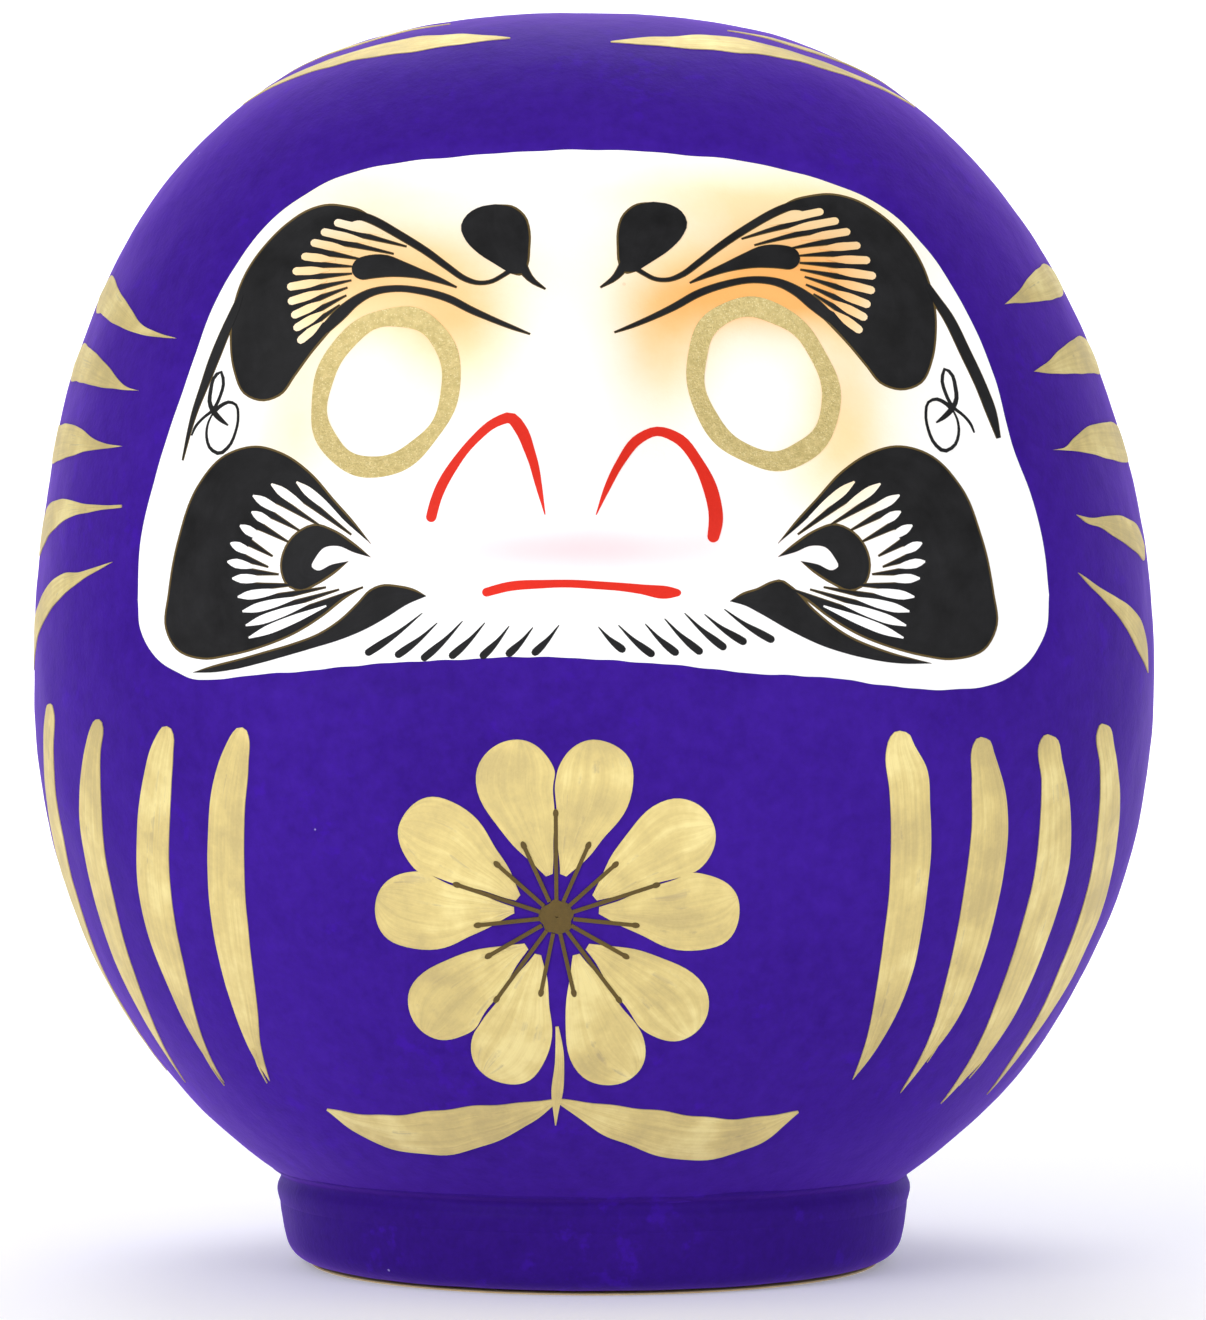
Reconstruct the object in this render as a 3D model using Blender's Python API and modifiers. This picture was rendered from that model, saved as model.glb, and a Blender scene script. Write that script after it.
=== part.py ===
"""A Takasaki-style daruma doll: a hollow papier-mache figure on a cylindrical foot, weighted with clay.

The pieces are the ones that it is glued together from: two moulded pulp half shells and the paper strip
inside their seam, a foot ring that takes the body's neck sleeve, a paper band round that joint, and in the
foot a greyboard disc, a clay weight and a paper sheet underneath.

Metres, +Z up, -Y is the doll's front. The origin is the centre of the foot's underside.
"""

import math

import bmesh
import bpy
from mathutils import Matrix, Vector

MM = 0.001

# Overall form of the body. The belt is the height at which the body is widest.
HEIGHT = 240 * MM
HALF_WIDTH = 108 * MM
FRONT_DEPTH = 99 * MM
BACK_DEPTH = 103 * MM
BELT_HEIGHT = 114 * MM
BELLY_REACH = 112 * MM
SECTION_POWER = 2.2
CROWN_SIDE_POWER = 2.7
CROWN_FRONT_POWER = 3.2
CROWN_BACK_POWER = 2.6
HEAD_LEAN = -3.2 * MM
LEAN_FROM = 125 * MM
LEAN_TO = 235 * MM

# The pulp wall, and the neck sleeve that goes down into the foot ring.
WALL = 2.6 * MM
GAP = 0.3 * MM
NECK_RADIUS = 60.3 * MM
NECK_HEIGHT = 17.3 * MM
SLEEVE_RADIUS = 56.7 * MM
SLEEVE_BOTTOM = 9 * MM

# The sunken face: its outline is a rounded trapezium, narrower towards the brow.
FACE_CENTRE_HEIGHT = 158 * MM
FACE_RISE = 51 * MM
FACE_DROP = 45 * MM
FACE_TOP_POWER = 4
FACE_BOTTOM_POWER = 7
FACE_WIDE_HEIGHT = 125 * MM
FACE_HALF_WIDTH = 86 * MM
FACE_TAPER = 19 / 65
FACE_LIP = 0.14
BROW_SINK = 5.0 * MM
CHIN_SINK = 3.0 * MM

# Rounded swellings and hollows of the face: centre x, centre z, half spans in x and z, and height.
# A centre off the middle is repeated on the other side.
SWELLINGS = (
    (0, 146 * MM, 15 * MM, 12 * MM, 9.0 * MM),
    (0, 166 * MM, 9 * MM, 15 * MM, 4.0 * MM),
    (17 * MM, 141 * MM, 9 * MM, 8 * MM, 3.0 * MM),
    (52 * MM, 137 * MM, 20 * MM, 17 * MM, 3.0 * MM),
    (46 * MM, 187 * MM, 24 * MM, 9 * MM, 3.0 * MM),
    (36 * MM, 165 * MM, 15 * MM, 15 * MM, -2.5 * MM),
    (0, 121 * MM, 26 * MM, 7 * MM, 2.0 * MM),
)

# How finely the body is divided: strips round the front and the back, and rows from crown to neck.
FRONT_STRIPS = 38
BACK_STRIPS = 16
CROWN_ROWS = 7
FACE_ROWS = 21
BELLY_ROWS = 9
CROWN_END = math.radians(40)
FACE_END = math.radians(92)
NECK_END = math.acos((NECK_HEIGHT - BELT_HEIGHT) / BELLY_REACH)
CROWN_EASE = 1.6
TURNED_STEPS = 48

# Foot ring, measured as (radius, height) down its outer side.
FOOT_OUTER = (
    (59.8 * MM, 16.9 * MM),
    (60.6 * MM, 15.8 * MM),
    (60.6 * MM, 14.4 * MM),
    (60.1 * MM, 12.2 * MM),
    (60.0 * MM, 9.0 * MM),
    (59.8 * MM, 5.0 * MM),
    (59.4 * MM, 2.8 * MM),
    (58.5 * MM, 1.4 * MM),
    (57.2 * MM, 0.9 * MM),
)
SOCKET_RADIUS = SLEEVE_RADIUS + GAP
SOCKET_FLOOR = 8.5 * MM
BORE_RADIUS = 55.0 * MM
FOOT_TOP = 16.9 * MM
FOOT_BOTTOM = 0.9 * MM

# Paper band over the joint, as (radius, height) of its inner side from top to bottom.
BAND_INNER = (
    (61.3 * MM, 17.1 * MM),
    (60.9 * MM, 15.8 * MM),
    (60.9 * MM, 14.3 * MM),
    (60.4 * MM, 12.2 * MM),
)
BAND_THICKNESS = 0.6 * MM

# Seam strip: half its width, its thickness and how low it reaches.
STRIP_HALF_WIDTH = 11 * MM
STRIP_THICKNESS = 0.8 * MM
STRIP_BOTTOM = 26 * MM

# What lies in the foot.
SHEET_RADIUS = 58 * MM
SHEET_THICKNESS = 0.6 * MM
BOARD_THICKNESS = 2 * MM
WEIGHT_RADIUS = 49 * MM
WEIGHT_THICKNESS = 11 * MM
WEIGHT_EDGE = 5 * MM

PURPLE_PAINT = (0.058, 0.018, 0.300, 1.0)
CREAM_PAPER = (0.62, 0.52, 0.36, 1.0)
GREY_BOARD = (0.27, 0.25, 0.21, 1.0)
DRY_CLAY = (0.36, 0.25, 0.17, 1.0)


def clear_scene():
    """Removes every object of the scene."""
    for item in list(bpy.data.objects):
        bpy.data.objects.remove(item)


def new_collection(name, hidden=False):
    """A collection linked to the scene; a hidden one holds cutters."""
    collection = bpy.data.collections.new(name)
    collection.hide_render = hidden
    bpy.context.scene.collection.children.link(collection)
    return collection


def painted(name, colour, roughness):
    """A plain Principled material."""
    material = bpy.data.materials.new(name)
    material.use_nodes = True
    shader = material.node_tree.nodes["Principled BSDF"]
    shader.inputs["Base Color"].default_value = colour
    shader.inputs["Roughness"].default_value = roughness
    shader.inputs["Metallic"].default_value = 0.0
    return material


def add_object(name, mesh, collection, material=None):
    """An object for a finished mesh, in its collection and material, shaded smooth."""
    item = bpy.data.objects.new(name, mesh)
    collection.objects.link(item)
    if material:
        mesh.materials.append(material)
    mesh.shade_smooth()
    mesh.set_sharp_from_angle(angle=math.radians(40))
    return item


def signed_power(value, power):
    """The power of a value's size, with the value's sign."""
    return math.copysign(abs(value) ** power, value)


def smooth_step(start, end, value):
    """0 before start, 1 after end, and a smooth rise between them."""
    share = min(1.0, max(0.0, (value - start) / (end - start)))
    return share * share * (3 - 2 * share)


def neck_power(half_span):
    """The superellipse power that takes a half span at the belt down to the neck's radius."""
    swell = math.sin(NECK_END)
    return 2 * math.log(swell) / math.log(NECK_RADIUS / half_span)


def body_point(azimuth, polar):
    """A point of the body's outer surface before the face is sunk into it.

    Azimuth 0 is the front and runs towards +X; polar 0 is the crown and runs down to the neck.
    """
    swell = math.sin(polar)
    crown = polar < math.pi / 2
    rise = HEIGHT - BELT_HEIGHT if crown else BELLY_REACH
    depth = FRONT_DEPTH if math.cos(azimuth) > 0 else BACK_DEPTH
    if crown:
        side_power = CROWN_SIDE_POWER
        depth_power = CROWN_FRONT_POWER if math.cos(azimuth) > 0 else CROWN_BACK_POWER
    else:
        side_power = neck_power(HALF_WIDTH)
        depth_power = neck_power(depth)
    z = BELT_HEIGHT + rise * math.cos(polar)
    roundness = smooth_step(NECK_HEIGHT, BELT_HEIGHT, z)
    corner = 2 / (2 + (SECTION_POWER - 2) * roundness)
    x = HALF_WIDTH * swell ** (2 / side_power) * signed_power(math.sin(azimuth), corner)
    y = -depth * swell ** (2 / depth_power) * signed_power(math.cos(azimuth), corner)
    return x + HEAD_LEAN * smooth_step(LEAN_FROM, LEAN_TO, z), y, z


def face_depth(x, z):
    """How far the face lies behind the body's own surface, at a point seen from the front."""
    above = z > FACE_CENTRE_HEIGHT
    reach = FACE_RISE if above else FACE_DROP
    power = FACE_TOP_POWER if above else FACE_BOTTOM_POWER
    half_width = FACE_HALF_WIDTH - FACE_TAPER * (z - FACE_WIDE_HEIGHT)
    level = (abs(x) / half_width) ** power + (abs(z - FACE_CENTRE_HEIGHT) / reach) ** power
    inside = smooth_step(-FACE_LIP / 3, FACE_LIP, 1 - level ** (1 / power))
    brow = smooth_step(FACE_CENTRE_HEIGHT - FACE_DROP, FACE_CENTRE_HEIGHT + FACE_RISE, z)
    sink = CHIN_SINK + (BROW_SINK - CHIN_SINK) * brow
    for centre_x, centre_z, span_x, span_z, height in SWELLINGS:
        for side in (-1, 1) if centre_x else (1,):
            across = (x - side * centre_x) / span_x
            along = (z - centre_z) / span_z
            sink -= height * math.exp(-across * across - along * along)
    return sink * inside


def row_polar(row):
    """The polar angle of a row of the body, closer together over the face."""
    if row <= CROWN_ROWS:
        return CROWN_END * (row / CROWN_ROWS) ** CROWN_EASE
    row -= CROWN_ROWS
    if row <= FACE_ROWS:
        return CROWN_END + (FACE_END - CROWN_END) * row / FACE_ROWS
    row -= FACE_ROWS
    return FACE_END + (NECK_END - FACE_END) * row / BELLY_ROWS


def strip_azimuth(strip):
    """The azimuth of a strip's edge: the front's strips first, from -90 degrees round to 270."""
    if strip <= FRONT_STRIPS:
        return math.pi * (strip / FRONT_STRIPS - 0.5)
    return math.pi * ((strip - FRONT_STRIPS) / BACK_STRIPS + 0.5)


def body_mesh(name):
    """The body's open outer surface: a flat grid wrapped round the form, closed at the crown and the side.

    Its two last rows turn in under the neck and down the sleeve.
    """
    strips = FRONT_STRIPS + BACK_STRIPS
    body_rows = CROWN_ROWS + FACE_ROWS + BELLY_ROWS
    sleeve = ((SLEEVE_RADIUS, NECK_HEIGHT), (SLEEVE_RADIUS, SLEEVE_BOTTOM))
    rows = body_rows + len(sleeve)
    grid = bmesh.new()
    bmesh.ops.create_grid(grid, x_segments=strips, y_segments=rows, size=1)
    for vertex in grid.verts:
        azimuth = strip_azimuth(round((vertex.co.x + 1) / 2 * strips))
        row = round((vertex.co.y + 1) / 2 * rows)
        if row > body_rows:
            radius, height = sleeve[row - body_rows - 1]
            vertex.co = (radius * math.sin(azimuth), -radius * math.cos(azimuth), height)
            continue
        x, y, z = body_point(azimuth, row_polar(row))
        if y < 0:
            y += face_depth(x, z)
        vertex.co = (x, y, z)
    bmesh.ops.remove_doubles(grid, verts=grid.verts, dist=0.01 * MM)
    bmesh.ops.recalc_face_normals(grid, faces=grid.faces)
    mesh = bpy.data.meshes.new(name)
    grid.to_mesh(mesh)
    grid.free()
    return mesh


def add_box_cutter(name, low, high, cutters):
    """A box between two corners that cuts or trims another piece."""
    bpy.ops.mesh.primitive_cube_add(size=1)
    box = bpy.context.object
    box.name = name
    low, high = Vector(low), Vector(high)
    box.data.transform(Matrix.Diagonal((*(high - low), 1)))
    box.location = (low + high) / 2
    for collection in list(box.users_collection):
        collection.objects.unlink(box)
    cutters.objects.link(box)
    box.hide_render = True
    box.display_type = "WIRE"
    return box


def add_solidify(item, thickness):
    """Gives an open outer surface its wall, inwards."""
    wall = item.modifiers.new("wall", "SOLIDIFY")
    wall.thickness = thickness
    wall.offset = -1
    wall.use_even_offset = True
    return wall


def add_boolean(item, name, other, operation):
    """A Boolean with another object."""
    cut = item.modifiers.new(name, "BOOLEAN")
    cut.operation = operation
    cut.solver = "EXACT"
    cut.object = other
    return cut


def add_half_shell(name, side, parts, cutters, material):
    """Half of the pulp body: side -1 is the front half, 1 is the back half.

    The cutter takes the other half away, and half of the seam's gap with it.
    """
    shell = add_object(name, body_mesh(name), parts, material)
    add_solidify(shell, WALL)
    reach = 2 * HALF_WIDTH
    seam_face = side * GAP / 2
    far_face = -side * reach
    low = (-reach, min(seam_face, far_face), -HEIGHT)
    high = (reach, max(seam_face, far_face), 2 * HEIGHT)
    cutter = add_box_cutter(name + "_cutter", low, high, cutters)
    add_boolean(shell, "seam", cutter, "DIFFERENCE")
    return shell


def add_seam_strip(parts, cutters, material):
    """The paper strip inside the seam, one gap inside the pulp wall."""
    strip = add_object("seam_strip", body_mesh("seam_strip"), parts, material)
    inset = strip.modifiers.new("inset", "DISPLACE")
    inset.strength = -(WALL + GAP)
    inset.mid_level = 0
    add_solidify(strip, STRIP_THICKNESS)
    low = (-2 * HALF_WIDTH, -STRIP_HALF_WIDTH, STRIP_BOTTOM)
    high = (2 * HALF_WIDTH, STRIP_HALF_WIDTH, 2 * HEIGHT)
    trim = add_box_cutter("seam_strip_trim", low, high, cutters)
    add_boolean(strip, "trim", trim, "INTERSECT")
    return strip


def add_turned(name, outline, parts, material, closed=True):
    """A turned piece from its (radius, height) outline, down the outer side first.

    An open outline starts and ends on the axis.
    """
    profile = bmesh.new()
    points = [profile.verts.new((radius, 0, height)) for radius, height in outline]
    ends = points[1:] + points[:1] if closed else points[1:]
    for start, end in zip(points, ends):
        profile.edges.new((start, end))
    mesh = bpy.data.meshes.new(name)
    profile.to_mesh(mesh)
    profile.free()
    item = add_object(name, mesh, parts, material)
    turn = item.modifiers.new("turn", "SCREW")
    turn.axis = "Z"
    turn.angle = math.tau
    turn.steps = TURNED_STEPS
    turn.render_steps = TURNED_STEPS
    turn.use_merge_vertices = True
    turn.merge_threshold = 0.01 * MM
    turn.use_smooth_shade = True
    return item


def add_foot_ring(parts, material):
    """The foot: a slightly tapered pulp ring with a socket for the neck sleeve and a bore for the board."""
    inner = (
        (BORE_RADIUS, FOOT_BOTTOM),
        (BORE_RADIUS, SOCKET_FLOOR),
        (SOCKET_RADIUS, SOCKET_FLOOR),
        (SOCKET_RADIUS, FOOT_TOP),
    )
    return add_turned("foot_ring", FOOT_OUTER + inner, parts, material)


def add_joint_band(parts, material):
    """The paper band over the joint between body and foot."""
    outer = []
    for index, (radius, height) in enumerate(BAND_INNER):
        before = BAND_INNER[max(index - 1, 0)]
        after = BAND_INNER[min(index + 1, len(BAND_INNER) - 1)]
        run = (after[0] - before[0], after[1] - before[1])
        length = math.hypot(*run)
        outward = (-run[1] / length, run[0] / length)
        outer.append(
            (radius + BAND_THICKNESS * outward[0], height + BAND_THICKNESS * outward[1])
        )
    return add_turned("joint_band", tuple(outer) + BAND_INNER[::-1], parts, material)


def add_disc(name, radius, low, thickness, parts, material):
    """A flat round board or sheet."""
    outline = ((0, low + thickness), (radius, low + thickness), (radius, low), (0, low))
    return add_turned(name, outline, parts, material, closed=False)


def add_clay_weight(parts, material):
    """The clay weight: a flat cake with a rounded shoulder, pressed onto the base board."""
    floor = FOOT_BOTTOM + BOARD_THICKNESS + GAP
    top = floor + WEIGHT_THICKNESS
    crown_rise = 1.5 * MM
    shoulder_steps = 5
    outline = [(0, top + crown_rise), (WEIGHT_RADIUS / 2, top + crown_rise / 2)]
    for step in range(shoulder_steps + 1):
        turn = math.pi / 2 * step / shoulder_steps
        radius = WEIGHT_RADIUS - WEIGHT_EDGE * (1 - math.sin(turn))
        outline.append((radius, top - WEIGHT_EDGE * (1 - math.cos(turn))))
    outline += [(WEIGHT_RADIUS, floor), (0, floor)]
    return add_turned("clay_weight", tuple(outline), parts, material, closed=False)


def main():
    """Builds the doll's eight pieces."""
    clear_scene()
    parts = new_collection("daruma_doll")
    cutters = new_collection("cutters", hidden=True)
    purple = painted("purple_paint", PURPLE_PAINT, 0.5)
    paper = painted("cream_paper", CREAM_PAPER, 0.8)
    board = painted("grey_board", GREY_BOARD, 0.85)
    clay = painted("dry_clay", DRY_CLAY, 0.9)
    add_half_shell("front_shell", -1, parts, cutters, purple)
    add_half_shell("back_shell", 1, parts, cutters, purple)
    add_seam_strip(parts, cutters, paper)
    add_joint_band(parts, purple)
    add_foot_ring(parts, purple)
    add_disc("base_sheet", SHEET_RADIUS, 0, SHEET_THICKNESS, parts, paper)
    add_disc("base_board", BORE_RADIUS - GAP, FOOT_BOTTOM, BOARD_THICKNESS, parts, board)
    add_clay_weight(parts, clay)


main()
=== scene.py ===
"""The looks of a papier-mache daruma doll: moulded body, foot, and its paint as coats laid on the skin.

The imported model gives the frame: metres, +Z up, -Y the way the face looks, the origin under the foot. Every
coat of paint is a thin sheet of its own, drawn flat as brush strokes, wrapped on the body and given a
thickness.
"""

import logging
import math
from abc import ABC, abstractmethod
from collections.abc import Iterable, Sequence
from dataclasses import dataclass
from enum import Enum

import bpy
import numpy as np
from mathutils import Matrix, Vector


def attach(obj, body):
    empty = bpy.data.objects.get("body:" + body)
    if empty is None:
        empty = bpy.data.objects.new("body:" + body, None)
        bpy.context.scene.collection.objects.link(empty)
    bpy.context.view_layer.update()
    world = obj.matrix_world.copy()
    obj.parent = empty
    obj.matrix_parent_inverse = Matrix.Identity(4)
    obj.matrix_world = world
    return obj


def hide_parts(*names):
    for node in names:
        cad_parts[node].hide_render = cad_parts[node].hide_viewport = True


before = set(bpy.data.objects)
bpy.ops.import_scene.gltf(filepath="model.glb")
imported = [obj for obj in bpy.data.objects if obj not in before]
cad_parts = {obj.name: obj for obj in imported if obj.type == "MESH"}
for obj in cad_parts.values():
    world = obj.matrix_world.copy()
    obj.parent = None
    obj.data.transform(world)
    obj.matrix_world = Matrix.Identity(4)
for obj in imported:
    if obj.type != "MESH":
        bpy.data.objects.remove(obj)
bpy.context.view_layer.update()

logging.basicConfig(level=logging.INFO, format="%(message)s")
log = logging.getLogger("daruma")

MM = 0.001
BODY = "root"
MERGE_DISTANCE = 0.00002

Rgba = tuple[float, float, float, float]


# ---------------------------------------------------------------------------------------------------------
# Helpers for meshes and modifiers
# ---------------------------------------------------------------------------------------------------------


def paint_chart(red: int, green: int, blue: int) -> Rgba:
    """A shader colour from the 0 to 255 values of a paint chart.

    Args:
        red: Red, 0 to 255.
        green: Green, 0 to 255.
        blue: Blue, 0 to 255.

    Returns:
        The linear colour, with full alpha.
    """
    channels = []
    for value in (red, green, blue):
        share = value / 255
        channels.append(share / 12.92 if share <= 0.04045 else ((share + 0.055) / 1.055) ** 2.4)
    return (channels[0], channels[1], channels[2], 1.0)


def smooth_step(start: float, end: float, value: np.ndarray) -> np.ndarray:
    """0 before start, 1 after end, and a smooth rise between them."""
    share = np.clip((value - start) / (end - start), 0, 1)
    return share * share * (3 - 2 * share)


def smooth_through(knots: np.ndarray, shares: np.ndarray) -> np.ndarray:
    """Points of a smooth curve through knots.

    Args:
        knots: One row for each knot; its first two columns are its place.
        shares: Where the points lie, as shares of the curve's length.

    Returns:
        One row for each share, with the knots' columns.
    """
    steps = np.linalg.norm(np.diff(knots[:, :2], axis=0), axis=1)
    place = np.concatenate([[0.0], np.cumsum(steps)])
    slopes = np.gradient(knots, place, axis=0)
    at = np.clip(shares, 0, 1) * place[-1]
    left = np.clip(np.searchsorted(place, at, side="right") - 1, 0, len(knots) - 2)
    span = (place[left + 1] - place[left])[:, None]
    turn = ((at - place[left])[:, None]) / span
    start, end = knots[left], knots[left + 1]
    rise, fall = slopes[left] * span, slopes[left + 1] * span
    square, cube = turn**2, turn**3
    return (
        (2 * cube - 3 * square + 1) * start
        + (cube - 2 * square + turn) * rise
        + (3 * square - 2 * cube) * end
        + (cube - square) * fall
    )


def deselect_all() -> None:
    """Leaves nothing selected, because an operator acts on all that is."""
    for item in bpy.context.selected_objects:
        item.select_set(False)


def select_only(items: Sequence[bpy.types.Object]) -> None:
    """Selects these objects, the first one active.

    Args:
        items: The objects.
    """
    deselect_all()
    for item in items:
        item.select_set(True)
    bpy.context.view_layer.objects.active = items[0]


def apply_modifiers(item: bpy.types.Object) -> None:
    """Applies every modifier of an object in order.

    Args:
        item: The object.
    """
    select_only([item])
    for modifier in list(item.modifiers):
        bpy.ops.object.modifier_apply(modifier=modifier.name)


def woven_sheet(name: str, points: np.ndarray, marks: np.ndarray) -> bpy.types.Object:
    """A sheet of quads: a primitive grid whose points are moved to their places.

    Args:
        name: The object's name.
        points: Its points, rows by columns by three.
        marks: The UV place of each point, rows by columns by two.

    Returns:
        The sheet's object, its faces turned away from the doll's axis.
    """
    rows, columns = points.shape[0] - 1, points.shape[1] - 1
    deselect_all()
    bpy.ops.mesh.primitive_grid_add(x_subdivisions=columns, y_subdivisions=rows, size=1)
    sheet = bpy.context.object
    sheet.name = sheet.data.name = name
    mesh = sheet.data
    mesh.vertices.foreach_set("co", points.reshape(-1).astype(np.float32))
    corners = np.empty(len(mesh.loops), dtype=np.int32)
    mesh.loops.foreach_get("vertex_index", corners)
    flat_marks = marks.reshape(-1, 2)[corners]
    mesh.uv_layers.active.data.foreach_set("uv", flat_marks.reshape(-1).astype(np.float32))
    mesh.update()
    face_outwards(sheet)
    return sheet


def face_outwards(sheet: bpy.types.Object) -> None:
    """Flips a sheet whose faces look towards the middle of the doll.

    Args:
        sheet: The sheet.
    """
    polygons = sheet.data.polygons
    centres = np.empty(len(polygons) * 3, dtype=np.float32)
    normals = np.empty(len(polygons) * 3, dtype=np.float32)
    polygons.foreach_get("center", centres)
    polygons.foreach_get("normal", normals)
    middle = np.array([0, 0, 110 * MM])
    outward = (centres.reshape(-1, 3) - middle) * normals.reshape(-1, 3)
    if outward.sum() < 0:
        sheet.data.flip_normals()


def joined(name: str, items: Sequence[bpy.types.Object]) -> bpy.types.Object:
    """Joins objects into one and merges the points that lie on each other.

    Args:
        name: The whole's name.
        items: The objects.

    Returns:
        The whole.
    """
    select_only(items)
    if len(items) > 1:
        bpy.ops.object.join()
    whole = bpy.context.object
    whole.name = whole.data.name = name
    bpy.ops.object.mode_set(mode="EDIT")
    bpy.ops.mesh.select_all(action="SELECT")
    bpy.ops.mesh.remove_doubles(threshold=MERGE_DISTANCE)
    bpy.ops.object.mode_set(mode="OBJECT")
    return whole


def turned(name: str, profile: Sequence[tuple[float, float]], steps: int) -> bpy.types.Object:
    """A turned piece from its (radius, height) profile, down the outer side first.

    Args:
        name: The object's name.
        profile: Points in metres.
        steps: Facets round the axis.

    Returns:
        The piece, smooth, with its Screw applied.
    """
    mesh = bpy.data.meshes.new(name)
    places = [(radius, 0.0, height) for radius, height in profile]
    mesh.from_pydata(places, [(i, i + 1) for i in range(len(places) - 1)], [])
    piece = bpy.data.objects.new(name, mesh)
    bpy.context.scene.collection.objects.link(piece)
    turn = piece.modifiers.new("turn", "SCREW")
    turn.angle = math.tau
    turn.steps = turn.render_steps = steps
    turn.use_merge_vertices = True
    turn.merge_threshold = MERGE_DISTANCE
    apply_modifiers(piece)
    piece.data.shade_smooth()
    return piece


def roughen(piece: bpy.types.Object, name: str, size: float, height: float) -> None:
    """Gives a surface hand-made unevenness of one size, as real shape.

    Args:
        piece: The object.
        name: The name of the unevenness.
        size: How far apart its swellings are, in metres.
        height: From hollow to swelling, in metres.
    """
    cloud = bpy.data.textures.new(name, "CLOUDS")
    cloud.noise_scale = size
    cloud.noise_depth = 1
    uneven = piece.modifiers.new(name, "DISPLACE")
    uneven.texture = cloud
    uneven.strength = height
    uneven.mid_level = 0.5
    uneven.texture_coords = "LOCAL"


# ---------------------------------------------------------------------------------------------------------
# Shader wiring and the effects that several finishes share
# ---------------------------------------------------------------------------------------------------------


class Wiring:
    """Adds and links the nodes of one tree."""

    def __init__(self, tree: bpy.types.NodeTree) -> None:
        """Starts on a tree."""
        self.tree = tree

    def fill(self, node: bpy.types.Node, inputs: dict) -> bpy.types.Node:
        """Sets or links a node's inputs.

        Args:
            node: The node.
            inputs: Value or source socket of each input, by name or number.

        Returns:
            The same node.
        """
        for key, value in inputs.items():
            if isinstance(value, bpy.types.NodeSocket):
                self.tree.links.new(value, node.inputs[key])
            else:
                node.inputs[key].default_value = value
        return node

    def add(self, kind: str, inputs: dict | None = None, **settings: object) -> bpy.types.Node:
        """Adds a node.

        Args:
            kind: The node's Blender type.
            inputs: Value or source socket of each input, by name or number.
            settings: The node's own properties.

        Returns:
            The node.
        """
        node = self.tree.nodes.new(kind)
        for name, value in settings.items():
            setattr(node, name, value)
        return self.fill(node, inputs or {})

    def maths(self, operation: str, *values: object) -> bpy.types.NodeSocket:
        """The result of a Math node on values or sockets."""
        return self.add("ShaderNodeMath", dict(enumerate(values)), operation=operation).outputs[0]

    def times(self, first: object, second: object) -> bpy.types.NodeSocket:
        """The product of two values or sockets."""
        return self.maths("MULTIPLY", first, second)

    def plus(self, first: object, second: object) -> bpy.types.NodeSocket:
        """The sum of two values or sockets."""
        return self.maths("ADD", first, second)

    def stretch(
        self, value: object, low: object, high: object, kind: str = "SMOOTHSTEP"
    ) -> bpy.types.NodeSocket:
        """Stretches the range from low to high to 0 to 1."""
        inputs = {"Value": value, "From Min": low, "From Max": high}
        return self.add("ShaderNodeMapRange", inputs, interpolation_type=kind).outputs[0]

    def blend(self, share: object, first: object, second: object) -> bpy.types.NodeSocket:
        """Mixes two colours by a share."""
        node = self.add("ShaderNodeMix", data_type="RGBA")
        return self.fill(node, {0: share, 6: first, 7: second}).outputs[2]

    def noise(
        self, vector: object, scale: object, detail: float, roughness: float
    ) -> bpy.types.NodeSocket:
        """The value of a Noise Texture."""
        inputs = {"Vector": vector, "Scale": scale, "Detail": detail, "Roughness": roughness}
        return self.add("ShaderNodeTexNoise", inputs).outputs[0]


class EffectWiring(Wiring):
    """The tree of a shared effect: one vector input, number inputs and one number output."""

    def __init__(self, name: str, output: str, numbers: dict[str, float]) -> None:
        """Starts the node group.

        Args:
            name: The group's name.
            output: The output's name.
            numbers: The number inputs and their defaults.
        """
        super().__init__(bpy.data.node_groups.new(name, "ShaderNodeTree"))
        face = self.tree.interface
        face.new_socket("Vector", in_out="INPUT", socket_type="NodeSocketVector")
        for key, default in numbers.items():
            face.new_socket(key, in_out="INPUT", socket_type="NodeSocketFloat").default_value = default
        face.new_socket(output, in_out="OUTPUT", socket_type="NodeSocketFloat")
        self.given = self.add("NodeGroupInput").outputs
        self.result = self.add("NodeGroupOutput")

    def sharpened(self, value: object) -> bpy.types.NodeSocket:
        """A value round 0.5 stretched by the group's Contrast."""
        low, high = (self.maths(sign, 0.5, self.given["Contrast"]) for sign in ("SUBTRACT", "ADD"))
        return self.stretch(value, low, high, "LINEAR")

    def closed(self, value: bpy.types.NodeSocket) -> bpy.types.NodeTree:
        """Links the output and gives the finished group."""
        self.tree.links.new(value, self.result.inputs[0])
        return self.tree


def mottle_effect() -> bpy.types.NodeTree:
    """Cloudy variation of a coat: Vector, Scale and Contrast in, Mottle out."""
    group = EffectWiring("mottle", "Mottle", {"Scale": 40.0, "Contrast": 0.2})
    return group.closed(group.sharpened(group.noise(group.given["Vector"], group.given["Scale"], 5.0, 0.6)))


def streak_effect() -> bpy.types.NodeTree:
    """Hair lines left by a brush.

    Returns:
        The group: a stroke's UV, densities Along and Across and Contrast in; Streaks out.
    """
    group = EffectWiring("brush_streaks", "Streaks", {"Along": 0.5, "Across": 12.0, "Contrast": 0.2})
    inputs = {0: group.given["Along"], 1: group.given["Across"], 2: 1.0}
    density = group.add("ShaderNodeCombineXYZ", inputs).outputs[0]
    inputs = {0: group.given["Vector"], 1: density}
    drawn = group.add("ShaderNodeVectorMath", inputs, operation="MULTIPLY").outputs[0]
    return group.closed(group.sharpened(group.noise(drawn, 1.0, 4.0, 0.65)))


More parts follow.
